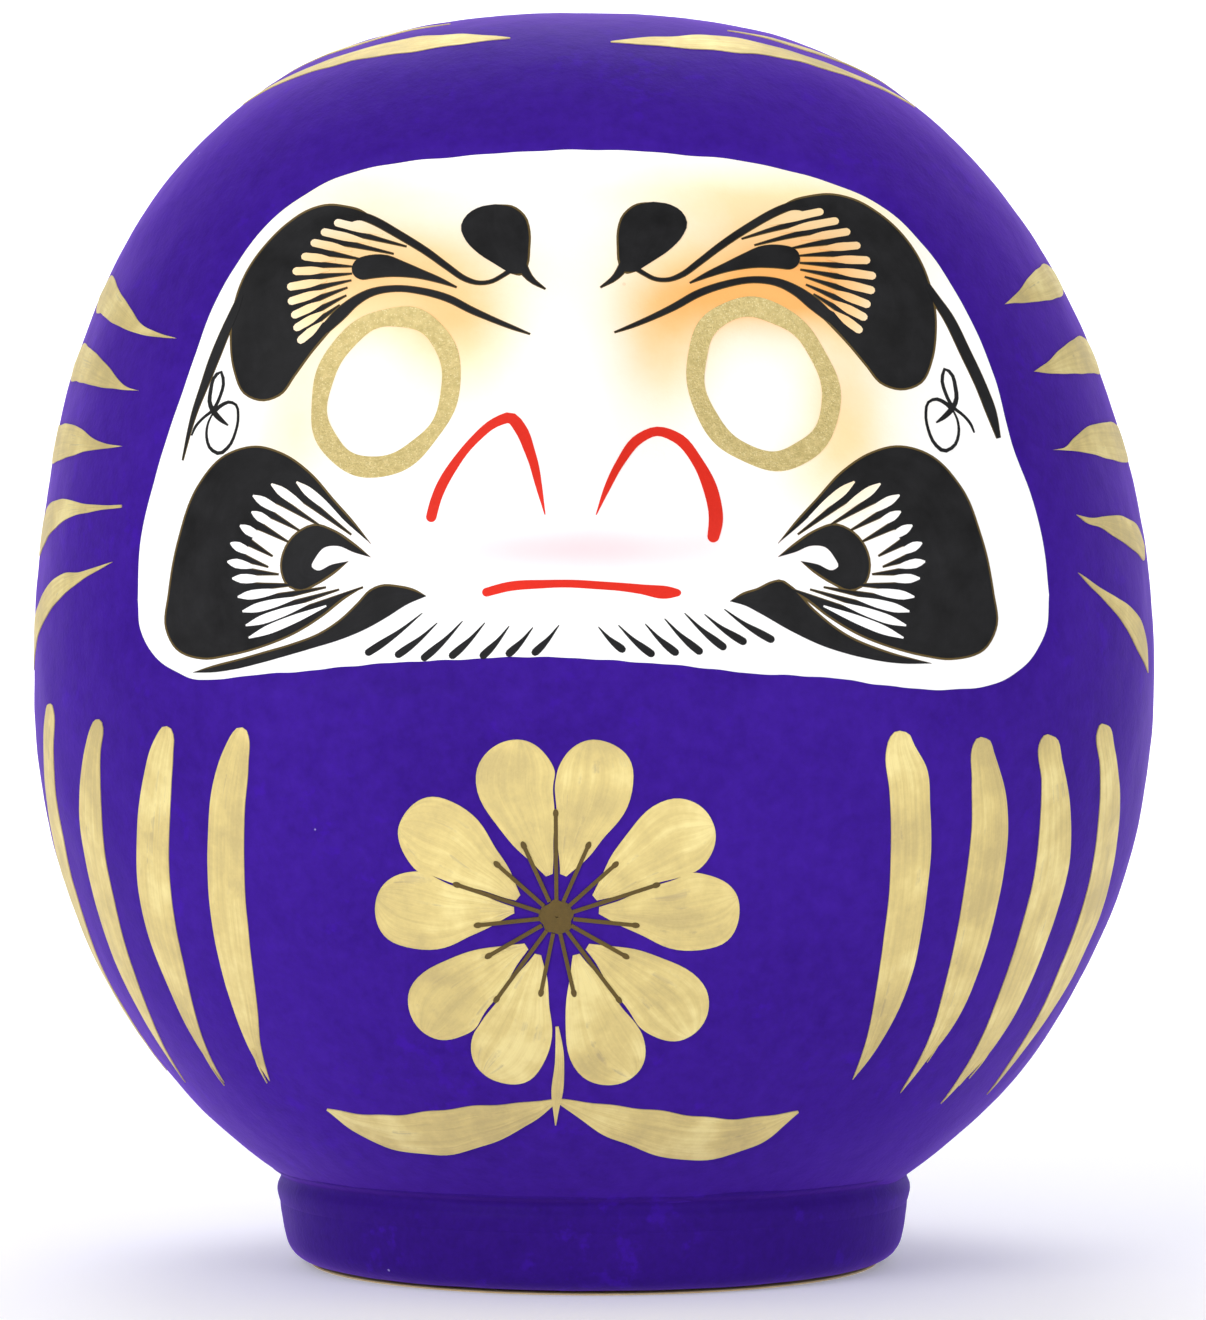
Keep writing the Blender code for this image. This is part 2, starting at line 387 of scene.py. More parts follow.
def airbrush_effect() -> bpy.types.NodeTree:
    """One soft airbrushed spot on the face.

    Returns:
        The group: object coordinates, the spot's place and its reach in metres in; Spot out.
    """
    numbers = {"Across": 0.0, "Up": 0.15, "Reach Across": 0.01, "Reach Up": 0.01}
    group = EffectWiring("airbrush_spot", "Spot", numbers)
    place = group.add("ShaderNodeSeparateXYZ", {0: group.given["Vector"]}).outputs
    terms = []
    for axis, centre in ((0, "Across"), (2, "Up")):
        away = group.maths("SUBTRACT", place[axis], group.given[centre])
        share = group.maths("DIVIDE", away, group.given["Reach " + centre])
        terms.append(group.times(share, share))
    return group.closed(group.maths("EXPONENT", group.times(group.plus(*terms), -1.0)))


def speck_effect() -> bpy.types.NodeTree:
    """Scattered specks.

    Returns:
        The group: Vector, Scale, Share of the cells that hold a speck and its Size in; Specks out.
    """
    group = EffectWiring("specks", "Specks", {"Scale": 200.0, "Share": 0.05, "Size": 0.2})
    inputs = {"Vector": group.given["Vector"], "Scale": group.given["Scale"]}
    cells = group.add("ShaderNodeTexVoronoi", inputs).outputs
    chance = group.add("ShaderNodeSeparateColor", {0: cells["Color"]}).outputs[0]
    chosen = group.maths("LESS_THAN", chance, group.given["Share"])
    near = group.maths("LESS_THAN", cells["Distance"], group.given["Size"])
    return group.closed(group.times(chosen, near))


def pulp_effect() -> bpy.types.NodeTree:
    """Height of painted pulp: soft lumps, and a fine tooth that the ground coat leaves.

    Returns:
        The group: Vector, Lumps and Tooth in; Height out.
    """
    group = EffectWiring("pulp_tooth", "Height", {"Lumps": 0.6, "Tooth": 0.4})
    lumps = group.noise(group.given["Vector"], 130.0, 2.0, 0.5)
    tooth = group.noise(group.given["Vector"], 1100.0, 2.0, 0.6)
    coarse = group.times(lumps, group.given["Lumps"])
    return group.closed(group.plus(coarse, group.times(tooth, group.given["Tooth"])))


@dataclass(frozen=True)
class Effects:
    """The shared node groups, built once."""

    mottle: bpy.types.NodeTree
    streaks: bpy.types.NodeTree
    airbrush: bpy.types.NodeTree
    specks: bpy.types.NodeTree
    pulp: bpy.types.NodeTree


EFFECTS = Effects(mottle_effect(), streak_effect(), airbrush_effect(), speck_effect(), pulp_effect())


class PaintWiring(Wiring):
    """The tree of one material, with its Principled BSDF, object coordinates and UV marks.

    The UV marks are centimetres along a stroke, and the share of the way across it.
    """

    def __init__(self, material: bpy.types.Material) -> None:
        """Starts on a new material.

        Args:
            material: The material.
        """
        material.use_nodes = True
        super().__init__(material.node_tree)
        self.shader = self.tree.nodes["Principled BSDF"]
        coordinates = self.add("ShaderNodeTexCoord").outputs
        self.place, self.marks = coordinates["Object"], coordinates["UV"]

    def effect(
        self, group: bpy.types.NodeTree, vector: bpy.types.NodeSocket, **numbers: float
    ) -> bpy.types.NodeSocket:
        """Places a shared effect.

        Args:
            group: The effect's node group.
            vector: Its vector input.
            numbers: Its number inputs, with _ for a space in a name.

        Returns:
            The effect's output.
        """
        inputs = {key.replace("_", " "): value for key, value in numbers.items()}
        node = self.add("ShaderNodeGroup", node_tree=group)
        return self.fill(node, {"Vector": vector, **inputs}).outputs[0]

    def mottle(self, scale: float, contrast: float) -> bpy.types.NodeSocket:
        """Clouds of a scale and a contrast."""
        return self.effect(EFFECTS.mottle, self.place, Scale=scale, Contrast=contrast)

    def specks(self, scale: float, share: float, size: float) -> bpy.types.NodeSocket:
        """Specks of a scale, in a share of the cells, of a size."""
        return self.effect(EFFECTS.specks, self.place, Scale=scale, Share=share, Size=size)

    def spot(self, across: float, up: float, reach_across: float, reach_up: float) -> bpy.types.NodeSocket:
        """An airbrushed spot, in millimetres."""
        sizes = {"Across": across, "Up": up, "Reach_Across": reach_across, "Reach_Up": reach_up}
        return self.effect(EFFECTS.airbrush, self.place, **{key: size * MM for key, size in sizes.items()})

    def feed(self, **inputs: object) -> None:
        """Sets or links the shader's inputs, with _ for a space in a name."""
        self.fill(self.shader, {key.replace("_", " "): value for key, value in inputs.items()})

    def bump(self, height: bpy.types.NodeSocket, depth: float) -> None:
        """Feeds a height to the shader's normal, its depth in metres."""
        bump = self.add("ShaderNodeBump", {"Height": height, "Distance": depth, "Strength": 1.0})
        self.feed(Normal=bump.outputs[0])

    def pulp_bump(self, lumps: float, tooth: float, depth: float) -> None:
        """Feeds the height of painted pulp to the shader's normal."""
        self.bump(self.effect(EFFECTS.pulp, self.place, Lumps=lumps, Tooth=tooth), depth)


# ---------------------------------------------------------------------------------------------------------
# Finishes
# ---------------------------------------------------------------------------------------------------------


@dataclass(frozen=True)
class Finish(ABC):
    """A finish: the record's slot it belongs to, and the material that it builds once."""

    name: str
    slot: str

    def material(self) -> bpy.types.Material:
        """The finish's material, made at its first use.

        Returns:
            The material.
        """
        material = bpy.data.materials.get(self.name)
        if material is None:
            material = bpy.data.materials.new(self.name)
            self.wire(PaintWiring(material))
        return material

    @abstractmethod
    def wire(self, paint: PaintWiring) -> None:
        """Wires the finish in its material's tree."""

    def dress(self, piece: bpy.types.Object) -> bpy.types.Object:
        """Gives a piece this finish's material, and lets it ride on the doll.

        Args:
            piece: The piece.

        Returns:
            The same piece.
        """
        piece.data.materials.clear()
        piece.data.materials.append(self.material())
        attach(piece, BODY)
        return piece


@dataclass(frozen=True)
class BrushedPurple(Finish):
    """The body's purple: brushed on in thin coats, a little cloudy, with pale edges and dust specks."""

    deep: Rgba = paint_chart(43, 17, 109)
    middle: Rgba = paint_chart(64, 31, 150)
    bright: Rgba = paint_chart(64, 22, 170)
    dust: Rgba = paint_chart(170, 160, 215)
    sheen: Rgba = paint_chart(150, 84, 250)

    def wire(self, paint: PaintWiring) -> None:
        """Wires the purple: clouds, brighter flecks, dust and a violet sheen.

        Args:
            paint: The material's wiring.
        """
        clouds = paint.mottle(24.0, 0.25)
        depth = paint.plus(paint.times(clouds, 0.5), paint.times(paint.mottle(330.0, 0.25), 0.5))
        coat = paint.blend(depth, self.deep, self.middle)
        fleck = paint.times(paint.mottle(260.0, 0.14), paint.mottle(60.0, 0.14))
        fleck = paint.stretch(fleck, 0.45, 1.0)
        coat = paint.blend(paint.times(fleck, 0.4), coat, self.bright)
        coat = paint.blend(paint.times(paint.mottle(900.0, 0.3), 0.2), coat, self.bright)
        coat = paint.blend(paint.times(paint.specks(190.0, 0.025, 0.06), 0.6), coat, self.dust)
        paint.feed(Base_Color=coat, Roughness=paint.plus(paint.times(clouds, 0.08), 0.42))
        paint.feed(Specular_IOR_Level=0.02, Sheen_Weight=0.5, Sheen_Roughness=0.4, Sheen_Tint=self.sheen)
        paint.pulp_bump(0.7, 0.3, 0.00018)


@dataclass(frozen=True)
class FaceWhite(Finish):
    """The face's ground coat, with orange airbrushed round brows and eyes and pink under the nose."""

    white: Rgba = paint_chart(253, 252, 250)
    cream: Rgba = paint_chart(251, 226, 176)
    orange: Rgba = paint_chart(243, 172, 92)
    pink: Rgba = paint_chart(250, 204, 208)
    spatter: Rgba = paint_chart(226, 140, 70)

    def wire(self, paint: PaintWiring) -> None:
        """Wires the face: cream washes, orange spots, pink blush and orange spatter.

        Each spot is its place across and up, its reach across and up in millimetres, and its share.

        Args:
            paint: The material's wiring.
        """
        spots = (
            (-23, 178, 9, 6, 0.6), (-29, 186, 13, 6, 0.55), (-42, 186, 9, 9, 0.42),
            (27, 183, 14, 6, 0.85), (38, 183, 9, 7, 0.65), (17, 179, 8, 8, 0.5),
            (33, 191, 12, 6, 0.5), (46, 186, 8, 10, 0.5), (47, 164, 5, 13, 0.28),
            (14, 172, 6, 8, 0.25),
        )  # fmt: skip
        washes = (
            (-30, 187, 19, 10, 1.0), (-45, 186, 12, 12, 0.85), (-22, 173, 12, 11, 0.85),
            (-51, 165, 7, 16, 0.6), (-52, 155, 9, 8, 0.3), (-40, 203, 22, 5, 0.45),
            (28, 187, 22, 12, 1.0), (46, 186, 12, 12, 0.8), (15, 172, 10, 13, 0.8),
            (48, 163, 9, 16, 0.85), (44, 151, 10, 9, 0.5), (38, 200, 24, 7, 0.75),
            (12, 203, 16, 5, 0.3),
        )  # fmt: skip
        uneven = paint.plus(paint.times(paint.mottle(60.0, 0.3), 0.4), 0.75)
        coat = self.white
        for colour, places in ((self.cream, washes), (self.orange, spots)):
            total = 0.0
            for *place, share in places:
                total = paint.plus(paint.times(paint.spot(*place), share), total)
            layer = paint.maths("MINIMUM", paint.times(total, uneven), 1.0)
            coat = paint.blend(layer, coat, colour)
        coat = paint.blend(paint.times(paint.spot(0, 137, 30, 4.5), 0.8), coat, self.pink)
        coat = paint.blend(paint.times(paint.specks(260.0, 0.05, 0.09), layer), coat, self.spatter)
        rough = paint.plus(paint.times(paint.mottle(500.0, 0.4), 0.1), 0.55)
        paint.feed(Base_Color=coat, Roughness=rough)
        paint.pulp_bump(0.5, 0.25, 0.00015)


@dataclass(frozen=True)
class BrushInk(Finish):
    """Brush ink: a nearly even coat with a charcoal wash in it."""

    thick: Rgba = paint_chart(15, 15, 16)
    thin: Rgba = paint_chart(44, 44, 46)
    wash: float = 0.6

    def wire(self, paint: PaintWiring) -> None:
        """Wires the ink: a thinner pool here and there, drawn out by the brush.

        Args:
            paint: The material's wiring.
        """
        pool = paint.mottle(150.0, 0.18)
        hairs = paint.effect(EFFECTS.streaks, paint.marks, Along=1.0, Across=9.0, Contrast=0.3)
        share = paint.times(paint.times(pool, paint.plus(paint.times(hairs, 0.5), 0.5)), self.wash)
        coat = paint.blend(share, self.thick, self.thin)
        paint.feed(Base_Color=coat, Roughness=paint.plus(paint.times(pool, 0.15), 0.5))
        paint.feed(Specular_IOR_Level=0.15)
        paint.pulp_bump(0.3, 0.3, 0.0001)


@dataclass(frozen=True)
class BrushedGold(Finish):
    """Pale gold paint, drawn out by the brush, thin and smoky in places."""

    pale: Rgba = paint_chart(240, 224, 156)
    full: Rgba = paint_chart(218, 197, 128)
    olive: Rgba = paint_chart(194, 174, 116)
    smoky: Rgba = paint_chart(128, 110, 104)

    def wire(self, paint: PaintWiring) -> None:
        """Wires the gold: three depths of paint, grain, smoke and the brush's ridges.

        Args:
            paint: The material's wiring.
        """
        hairs = paint.effect(EFFECTS.streaks, paint.marks, Along=0.35, Across=9.0, Contrast=0.2)
        grain = paint.mottle(1800.0, 0.3)
        depth = paint.plus(paint.times(paint.mottle(75.0, 0.16), 0.65), paint.times(hairs, 0.35))
        coat = paint.blend(paint.stretch(depth, 0.1, 0.6), self.olive, self.full)
        coat = paint.blend(paint.stretch(depth, 0.45, 0.95), coat, self.pale)
        coat = paint.blend(paint.times(grain, 0.25), coat, self.pale)
        smoke = paint.stretch(paint.times(paint.mottle(120.0, 0.09), hairs), 0.5, 1.0)
        coat = paint.blend(paint.times(smoke, 0.4), coat, self.smoky)
        rough = paint.plus(paint.times(grain, 0.15), 0.45)
        paint.feed(Base_Color=coat, Roughness=rough, Metallic=0.5)
        paint.bump(paint.plus(hairs, paint.times(grain, 0.3)), 0.00006)


@dataclass(frozen=True)
class GlitterGold(Finish):
    """The eye rings' gold: a beige-gold paint full of fine glitter."""

    base: Rgba = paint_chart(214, 194, 132)
    spark: Rgba = paint_chart(250, 240, 190)
    shade: Rgba = paint_chart(176, 156, 92)

    def wire(self, paint: PaintWiring) -> None:
        """Wires the glitter: a clouded gold with bright flakes.

        Args:
            paint: The material's wiring.
        """
        fine = paint.mottle(2600.0, 0.2)
        coat = paint.blend(paint.times(paint.mottle(900.0, 0.14), 0.55), self.base, self.shade)
        coat = paint.blend(paint.times(paint.specks(3200.0, 0.3, 0.4), 0.4), coat, self.spark)
        rough = paint.plus(paint.times(fine, 0.2), 0.35)
        paint.feed(Base_Color=coat, Roughness=rough, Metallic=0.45)
        paint.bump(fine, 0.0001)


@dataclass(frozen=True)
class PlainCoat(Finish):
    """A brushed or dried surface of one colour with a darker and a lighter cloud in it."""

    body: Rgba = (0.5, 0.5, 0.5, 1.0)
    cloud: Rgba = (0.4, 0.4, 0.4, 1.0)
    scale: float = 120.0
    roughness: float = 0.5
    tooth: float = 0.0001

    def wire(self, paint: PaintWiring) -> None:
        """Wires the coat: its two colours in clouds.

        Args:
            paint: The material's wiring.
        """
        grain = paint.mottle(1300.0, 0.35)
        share = paint.times(paint.plus(paint.mottle(self.scale, 0.25), grain), 0.5)
        rough = paint.plus(paint.times(grain, 0.1), self.roughness)
        paint.feed(Base_Color=paint.blend(share, self.body, self.cloud), Roughness=rough)
        paint.feed(Specular_IOR_Level=0.2)
        paint.pulp_bump(0.5, 0.5, self.tooth)


PURPLE = BrushedPurple("brushed_purple", "painted_pulp")
# A darker copy of the body's purple for the foot wall and joint band: painted shade, standing in for the
# shade under the belly's overhang.
FOOT_PURPLE_PAINTED_SHADE = BrushedPurple(
    "foot_purple_painted_shade", "painted_pulp", deep=paint_chart(38, 15, 96), middle=paint_chart(50, 22, 120)
)
FACE_WHITE = FaceWhite("face_white", "white_paint")
INK = BrushInk("brush_ink", "ink")
SEPIA = PlainCoat(
    "ink_fringe", "ink", paint_chart(104, 84, 40), paint_chart(80, 66, 36), roughness=0.55
)
GOLD = BrushedGold("brushed_gold", "gold_paint")
GLITTER = GlitterGold("glitter_gold", "gold_paint")
VERMILION = PlainCoat(
    "vermilion", "red_paint", paint_chart(224, 40, 20), paint_chart(204, 34, 16), roughness=0.5
)
PAPER = PlainCoat(
    "base_paper", "paper", paint_chart(222, 200, 158), paint_chart(186, 158, 112), roughness=0.8
)
BOARD = PlainCoat(
    "greyboard", "greyboard", paint_chart(146, 138, 124), paint_chart(118, 110, 98), roughness=0.85
)
CLAY = PlainCoat(
    "dried_clay", "clay", paint_chart(162, 132, 104), paint_chart(128, 100, 78), 60.0, 0.9, 0.0004
)


# ---------------------------------------------------------------------------------------------------------
# The body's form
# ---------------------------------------------------------------------------------------------------------


class Chart(Enum):
    """How flat coordinates lie on the body."""

    FRONT = "millimetres across and up, seen from the front"
    ROUND = "degrees round from the front, and millimetres up"
    TOP = "millimetres across and back, seen from above"


@dataclass(frozen=True)
class BodyForm:
    """The moulded body as a formula: superellipse sections between crown and neck, with the face sunk in."""

    height: float = 240 * MM
    half_width: float = 108 * MM
    front_depth: float = 99 * MM
    back_depth: float = 103 * MM
    belt: float = 114 * MM
    reach: float = 112 * MM
    section_power: float = 2.2
    crown_side_power: float = 2.7
    crown_front_power: float = 3.2
    crown_back_power: float = 2.6
    head_lean: float = -3.2 * MM
    lean_from: float = 125 * MM
    lean_to: float = 235 * MM
    neck_radius: float = 60.3 * MM
    neck_height: float = 17.3 * MM
    sleeve_radius: float = 56.7 * MM
    face_centre: float = 158 * MM
    face_rise: float = 51 * MM
    face_drop: float = 45 * MM
    face_top_power: float = 4
    face_bottom_power: float = 7
    face_wide_height: float = 125 * MM
    face_half_width: float = 86 * MM
    face_taper: float = 19 / 65
    face_lip: float = 0.14
    brow_sink: float = 5 * MM
    chin_sink: float = 3 * MM
    swellings: tuple[tuple[float, float, float, float, float], ...] = (
        (0, 146, 15, 12, 9.0),
        (0, 166, 9, 15, 4.0),
        (17, 141, 9, 8, 3.0),
        (52, 137, 20, 17, 3.0),
        (46, 187, 24, 9, 3.0),
        (36, 165, 15, 15, -2.5),
        (0, 121, 26, 7, 2.0),
    )

    @property
    def neck_polar(self) -> float:
        """The polar angle of the neck."""
        return math.acos((self.neck_height - self.belt) / self.reach)

    def lean(self, height: np.ndarray) -> np.ndarray:
        """How far the head leans sideways at a height."""
        return self.head_lean * smooth_step(self.lean_from, self.lean_to, height)

    def neck_power(self, half_span: float) -> float:
        """The power that takes a half span at the belt down to the neck's radius."""
        return 2 * math.log(math.sin(self.neck_polar)) / math.log(self.neck_radius / half_span)

    def spans(
        self, swell: np.ndarray, crown: np.ndarray
    ) -> tuple[np.ndarray, np.ndarray, np.ndarray]:
        """Half width, front depth and back depth at a swell.

        Args:
            swell: Sine of the polar angle.
            crown: True above the belt.

        Returns:
            The three spans in metres.
        """
        spans = []
        for span, crown_power in (
            (self.half_width, self.crown_side_power),
            (self.front_depth, self.crown_front_power),
            (self.back_depth, self.crown_back_power),
        ):
            power = np.where(crown, crown_power, self.neck_power(span))
            spans.append(span * swell ** (2 / power))
        return spans[0], spans[1], spans[2]

    def section(
        self, height: np.ndarray
    ) -> tuple[np.ndarray, np.ndarray, np.ndarray, np.ndarray]:
        """The cross-section at a height: half width, front depth, back depth and power.

        Args:
            height: Heights in metres.

        Returns:
            The four, in metres but for the power.
        """
        crown = height > self.belt
        rise = np.where(crown, self.height - self.belt, self.reach)
        cosine = np.clip((height - self.belt) / rise, -1, 1)
        swell = np.sqrt(np.maximum(1 - cosine * cosine, 1e-9))
        width, front, back = self.spans(swell, crown)
        power = 2 + (self.section_power - 2) * smooth_step(self.neck_height, self.belt, height)
        return width, front, back, power

    def face_depth(self, across: np.ndarray, height: np.ndarray) -> np.ndarray:
        """How far the face lies behind the plain body, at points seen from the front.

        Args:
            across: Places across, in metres.
            height: Heights in metres.

        Returns:
            Depths in metres.
        """
        above = height > self.face_centre
        reach = np.where(above, self.face_rise, self.face_drop)
        power = np.where(above, self.face_top_power, self.face_bottom_power)
        half = self.face_half_width - self.face_taper * (height - self.face_wide_height)
        level = (np.abs(across) / half) ** power + (np.abs(height - self.face_centre) / reach) ** power
        inside = smooth_step(-self.face_lip / 3, self.face_lip, 1 - level ** (1 / power))
        low, high = self.face_centre - self.face_drop, self.face_centre + self.face_rise
        sink = self.chin_sink + (self.brow_sink - self.chin_sink) * smooth_step(low, high, height)
        for centre_x, centre_z, span_x, span_z, rise in self.swellings:
            for side in (-1, 1) if centre_x else (1,):
                x = (across - side * centre_x * MM) / (span_x * MM)
                z = (height - centre_z * MM) / (span_z * MM)
                sink = sink - rise * MM * np.exp(-x * x - z * z)
        return sink * inside

    def wall(self, azimuth: np.ndarray, polar: np.ndarray) -> np.ndarray:
        """Points of the body by the angles that its grid is made of, face included.

        Args:
            azimuth: Angles round, 0 in front.
            polar: Angles down from the crown.

        Returns:
            The points.
        """
        swell = np.sin(polar)
        crown = polar < math.pi / 2
        height = self.belt + np.where(crown, self.height - self.belt, self.reach) * np.cos(polar)
        width, front, back = self.spans(swell, crown)
        power = 2 + (self.section_power - 2) * smooth_step(self.neck_height, self.belt, height)
        sine, cosine = np.sin(azimuth), np.cos(azimuth)
        cosine = np.where(np.abs(cosine) < 1e-9, 0, cosine)
        depth = np.where(cosine > 0, front, back)
        x = width * np.sign(sine) * np.abs(sine) ** (2 / power) + self.lean(height)
        y = -depth * np.sign(cosine) * np.abs(cosine) ** (2 / power)
        y = np.where(y < 0, y + self.face_depth(x, height), y)
        return np.stack([x, y, height], axis=-1)

    def front(self, across: np.ndarray, height: np.ndarray) -> np.ndarray:
        """Points of the front by their place seen from the front.

        Args:
            across: Places across, in metres.
            height: Heights in metres.

        Returns:
            The points.
        """
        width, depth, _, power = self.section(height)
        share = np.clip(np.abs(across - self.lean(height)) / width, 0, 0.999)
        y = -depth * (1 - share**power) ** (1 / power) + self.face_depth(across, height)
        return np.stack([across, y, height], axis=-1)

    def round(self, degrees: np.ndarray, height: np.ndarray) -> np.ndarray:
        """Points of the front by their degrees round and their height.

        Args:
            degrees: Degrees round.
            height: Heights in metres.

        Returns:
            The points.
        """
        width, depth, _, power = self.section(height)
        sine, cosine = np.sin(np.radians(degrees)), np.cos(np.radians(degrees))
        radius = ((np.abs(sine) / width) ** power + (np.abs(cosine) / depth) ** power) ** (-1 / power)
        x = radius * sine + self.lean(height)
        y = -radius * cosine + self.face_depth(x, height)
        return np.stack([x, y, height], axis=-1)

    def top(self, across: np.ndarray, back: np.ndarray) -> np.ndarray:
        """Points of the crown by their place seen from above.

        Args:
            across: Places across, in metres.
            back: Places back, in metres.

        Returns:
            The points.
        """
        low = np.full_like(across, self.face_centre)
        high = np.full_like(across, self.height)
        for _ in range(32):
            height = (low + high) / 2
            width, front, rear, power = self.section(height)
            depth = np.where(back < 0, front, rear)
            level = (np.abs(across - self.lean(height)) / width) ** power + (np.abs(back) / depth) ** power
            low, high = np.where(level < 1, height, low), np.where(level < 1, high, height)
        return np.stack([across, back, (low + high) / 2], axis=-1)

    def lay(self, chart: Chart, first: np.ndarray, second: np.ndarray) -> np.ndarray:
        """Lays flat coordinates of a chart on the body, in metres (degrees for the first of ROUND).

        Args:
            chart: The chart.
            first: Its first coordinate.
            second: Its second coordinate.

        Returns:
            The points.
        """
        if chart is Chart.ROUND:
            return self.round(first, second)
        return self.front(first, second) if chart is Chart.FRONT else self.top(first, second)


FORM = BodyForm()


# ---------------------------------------------------------------------------------------------------------
# Shapes of paint
# ---------------------------------------------------------------------------------------------------------

Knots = Sequence[tuple[float, float]]
WideKnots = Sequence[tuple[float, float, float]]

DEGREE_LENGTH = 1.75
CELL = 1.1
CENTIMETRE = 10.0
MARK_STEP = 3.7


def even_shares(count: int, to_ends: bool) -> np.ndarray:
    """Shares from 0 to 1, even, or crowded towards both ends."""
    shares = np.linspace(0, 1, count)
    return (1 - np.cos(math.pi * shares)) / 2 if to_ends else shares


class Shape(ABC):
    """A flat shape of paint, in millimetres."""

    @abstractmethod
    def weave(self, seed: int) -> tuple[np.ndarray, np.ndarray]:
        """The shape as a woven sheet.

        Args:
            seed: The number that its wobble and its streaks start from.

        Returns:
            Its flat points (rows, columns, 2) and their UV marks.
        """


def woven_between(near: np.ndarray, far: np.ndarray, rows: int, seed: int) -> tuple[np.ndarray, np.ndarray]:
    """Fills the band between two edges.

    Args:
        near: The points of one edge.
        far: The points of the other, as many.
        rows: Rows of points across the band.
        seed: The shape's number, which keeps the marks of shapes apart.

    Returns:
        The flat points (rows, columns, 2), and their UV marks: centimetres along the shape, and the share
        of the way across it.
    """
    across = np.linspace(0, 1, rows)[:, None]
    flat = near[None] * (1 - across[:, None]) + far[None] * across[:, None]
    steps = np.linalg.norm(np.diff(flat[rows // 2], axis=0), axis=1)
    along = np.concatenate([[0.0], np.cumsum(steps)]) / CENTIMETRE + seed * MARK_STEP
    return flat, np.stack(np.broadcast_arrays(along[None], across), axis=-1)


@dataclass(frozen=True)
class Stroke(Shape):
    """One brush stroke: a path with a width at each knot, pointed or rounded at its ends."""

    path: WideKnots
    round_start: bool = False
    round_end: bool = False
    wobble: float = 0.0
    extra: float = 0.0

    def weave(self, seed: int) -> tuple[np.ndarray, np.ndarray]:
        """The stroke as a woven sheet; see Shape.

        Args:
            seed: The number that its wobble and its streaks start from.

        Returns:
            Its flat points and their UV marks.
        """
        knots = np.array(self.path, dtype=float)
        length = np.linalg.norm(np.diff(knots[:, :2], axis=0), axis=1).sum()
        columns = max(8, round(length / CELL * 1.6)) + 1
        shares = even_shares(columns, True)
        line = smooth_through(knots, shares)
        width = np.maximum(line[:, 2], 0.05) + self.extra
        along = shares * length
        for rounded, run, end in ((self.round_start, along, 0), (self.round_end, length - along, -1)):
            if rounded:
                radius = width[end] / 2
                near = np.clip(1 - run / radius, 0, 1)
                width = width * np.sqrt(np.maximum(1 - near * near, 0.0004))
        heading = np.gradient(line[:, :2], axis=0)
        heading /= np.linalg.norm(heading, axis=1)[:, None]
        side = np.stack([-heading[:, 1], heading[:, 0]], axis=1)
        rows = max(3, round(width.max() / CELL) + 1)
        dice = np.random.default_rng(seed)
        edges = []
        for direction in (-1, 1):
            phases = dice.uniform(0, math.tau, 3)
            waves = sum(
                np.sin(along * pace + phase) for pace, phase in zip((0.13, 0.31, 0.67), phases)
            )
            reach = width / 2 + self.wobble * waves * np.minimum(1, width / 4) / 2
            edges.append(line[:, :2] + side * (direction * reach)[:, None])
        return woven_between(edges[0], edges[1], rows, seed)


@dataclass(frozen=True)
class Patch(Shape):
    """An area between two edges that start and end together."""

    edge: Knots
    other_edge: Knots
    cell: float = CELL
    wobble: float = 0.0

    def weave(self, seed: int) -> tuple[np.ndarray, np.ndarray]:
        """The patch as a woven sheet; see Shape.

        Args:
            seed: The number that its wobble and its streaks start from.

        Returns:
            Its flat points and their UV marks.
        """
        first, second = (np.array(edge, dtype=float) for edge in (self.edge, self.other_edge))
        length = max(np.linalg.norm(np.diff(edge, axis=0), axis=1).sum() for edge in (first, second))
        shares = even_shares(max(10, round(length / self.cell)) + 1, False)
        near, far = smooth_through(first, shares), smooth_through(second, shares)
        dice = np.random.default_rng(seed)
        for side in (near, far):
            phases = dice.uniform(0, math.tau, 6)
            paces = np.array([0.11, 0.23, 0.31, 0.17, 0.43, 0.71])
            waves = np.sin(np.outer(shares * length, paces) + phases)
            fade = np.minimum(1, np.minimum(shares, 1 - shares) * 12)[:, None]
            side += self.wobble * fade * np.stack([waves[:, :3].sum(1), waves[:, 3:].sum(1)], axis=1) / 2
        width = np.linalg.norm(near - far, axis=1).max()
        rows = max(3, round(width / self.cell) + 1)
        return woven_between(near, far, rows, seed)


@dataclass(frozen=True)
class Hoop(Shape):
    """A closed band between two tilted ellipses about one centre."""

    centre: tuple[float, float]
    outer: tuple[float, float]
    inner: tuple[float, float]
    tilt: float
    wobble: float = 0.12

    def weave(self, seed: int) -> tuple[np.ndarray, np.ndarray]:
        """The hoop as a woven sheet; see Shape.

        Args:
            seed: The number that its wobble and its streaks start from.

        Returns:
            Its flat points and their UV marks.
        """
        turns = np.linspace(0, math.tau, 97)
        dice = np.random.default_rng(seed)
        tilt = math.radians(self.tilt)
        edges = []
        for long_half, short_half in (self.inner, self.outer):
            phases = dice.uniform(0, math.tau, 3)
            waves = sum(np.sin(pace * turns + phase) for pace, phase in zip((3, 5, 8), phases))
            along = (long_half + self.wobble * waves) * np.cos(turns)
            across = (short_half + self.wobble * waves) * np.sin(turns)
            x = self.centre[0] + along * math.sin(tilt) + across * math.cos(tilt)
            z = self.centre[1] + along * math.cos(tilt) - across * math.sin(tilt)
            edges.append(np.stack([x, z], axis=1))
        return woven_between(edges[0], edges[1], 6, seed)


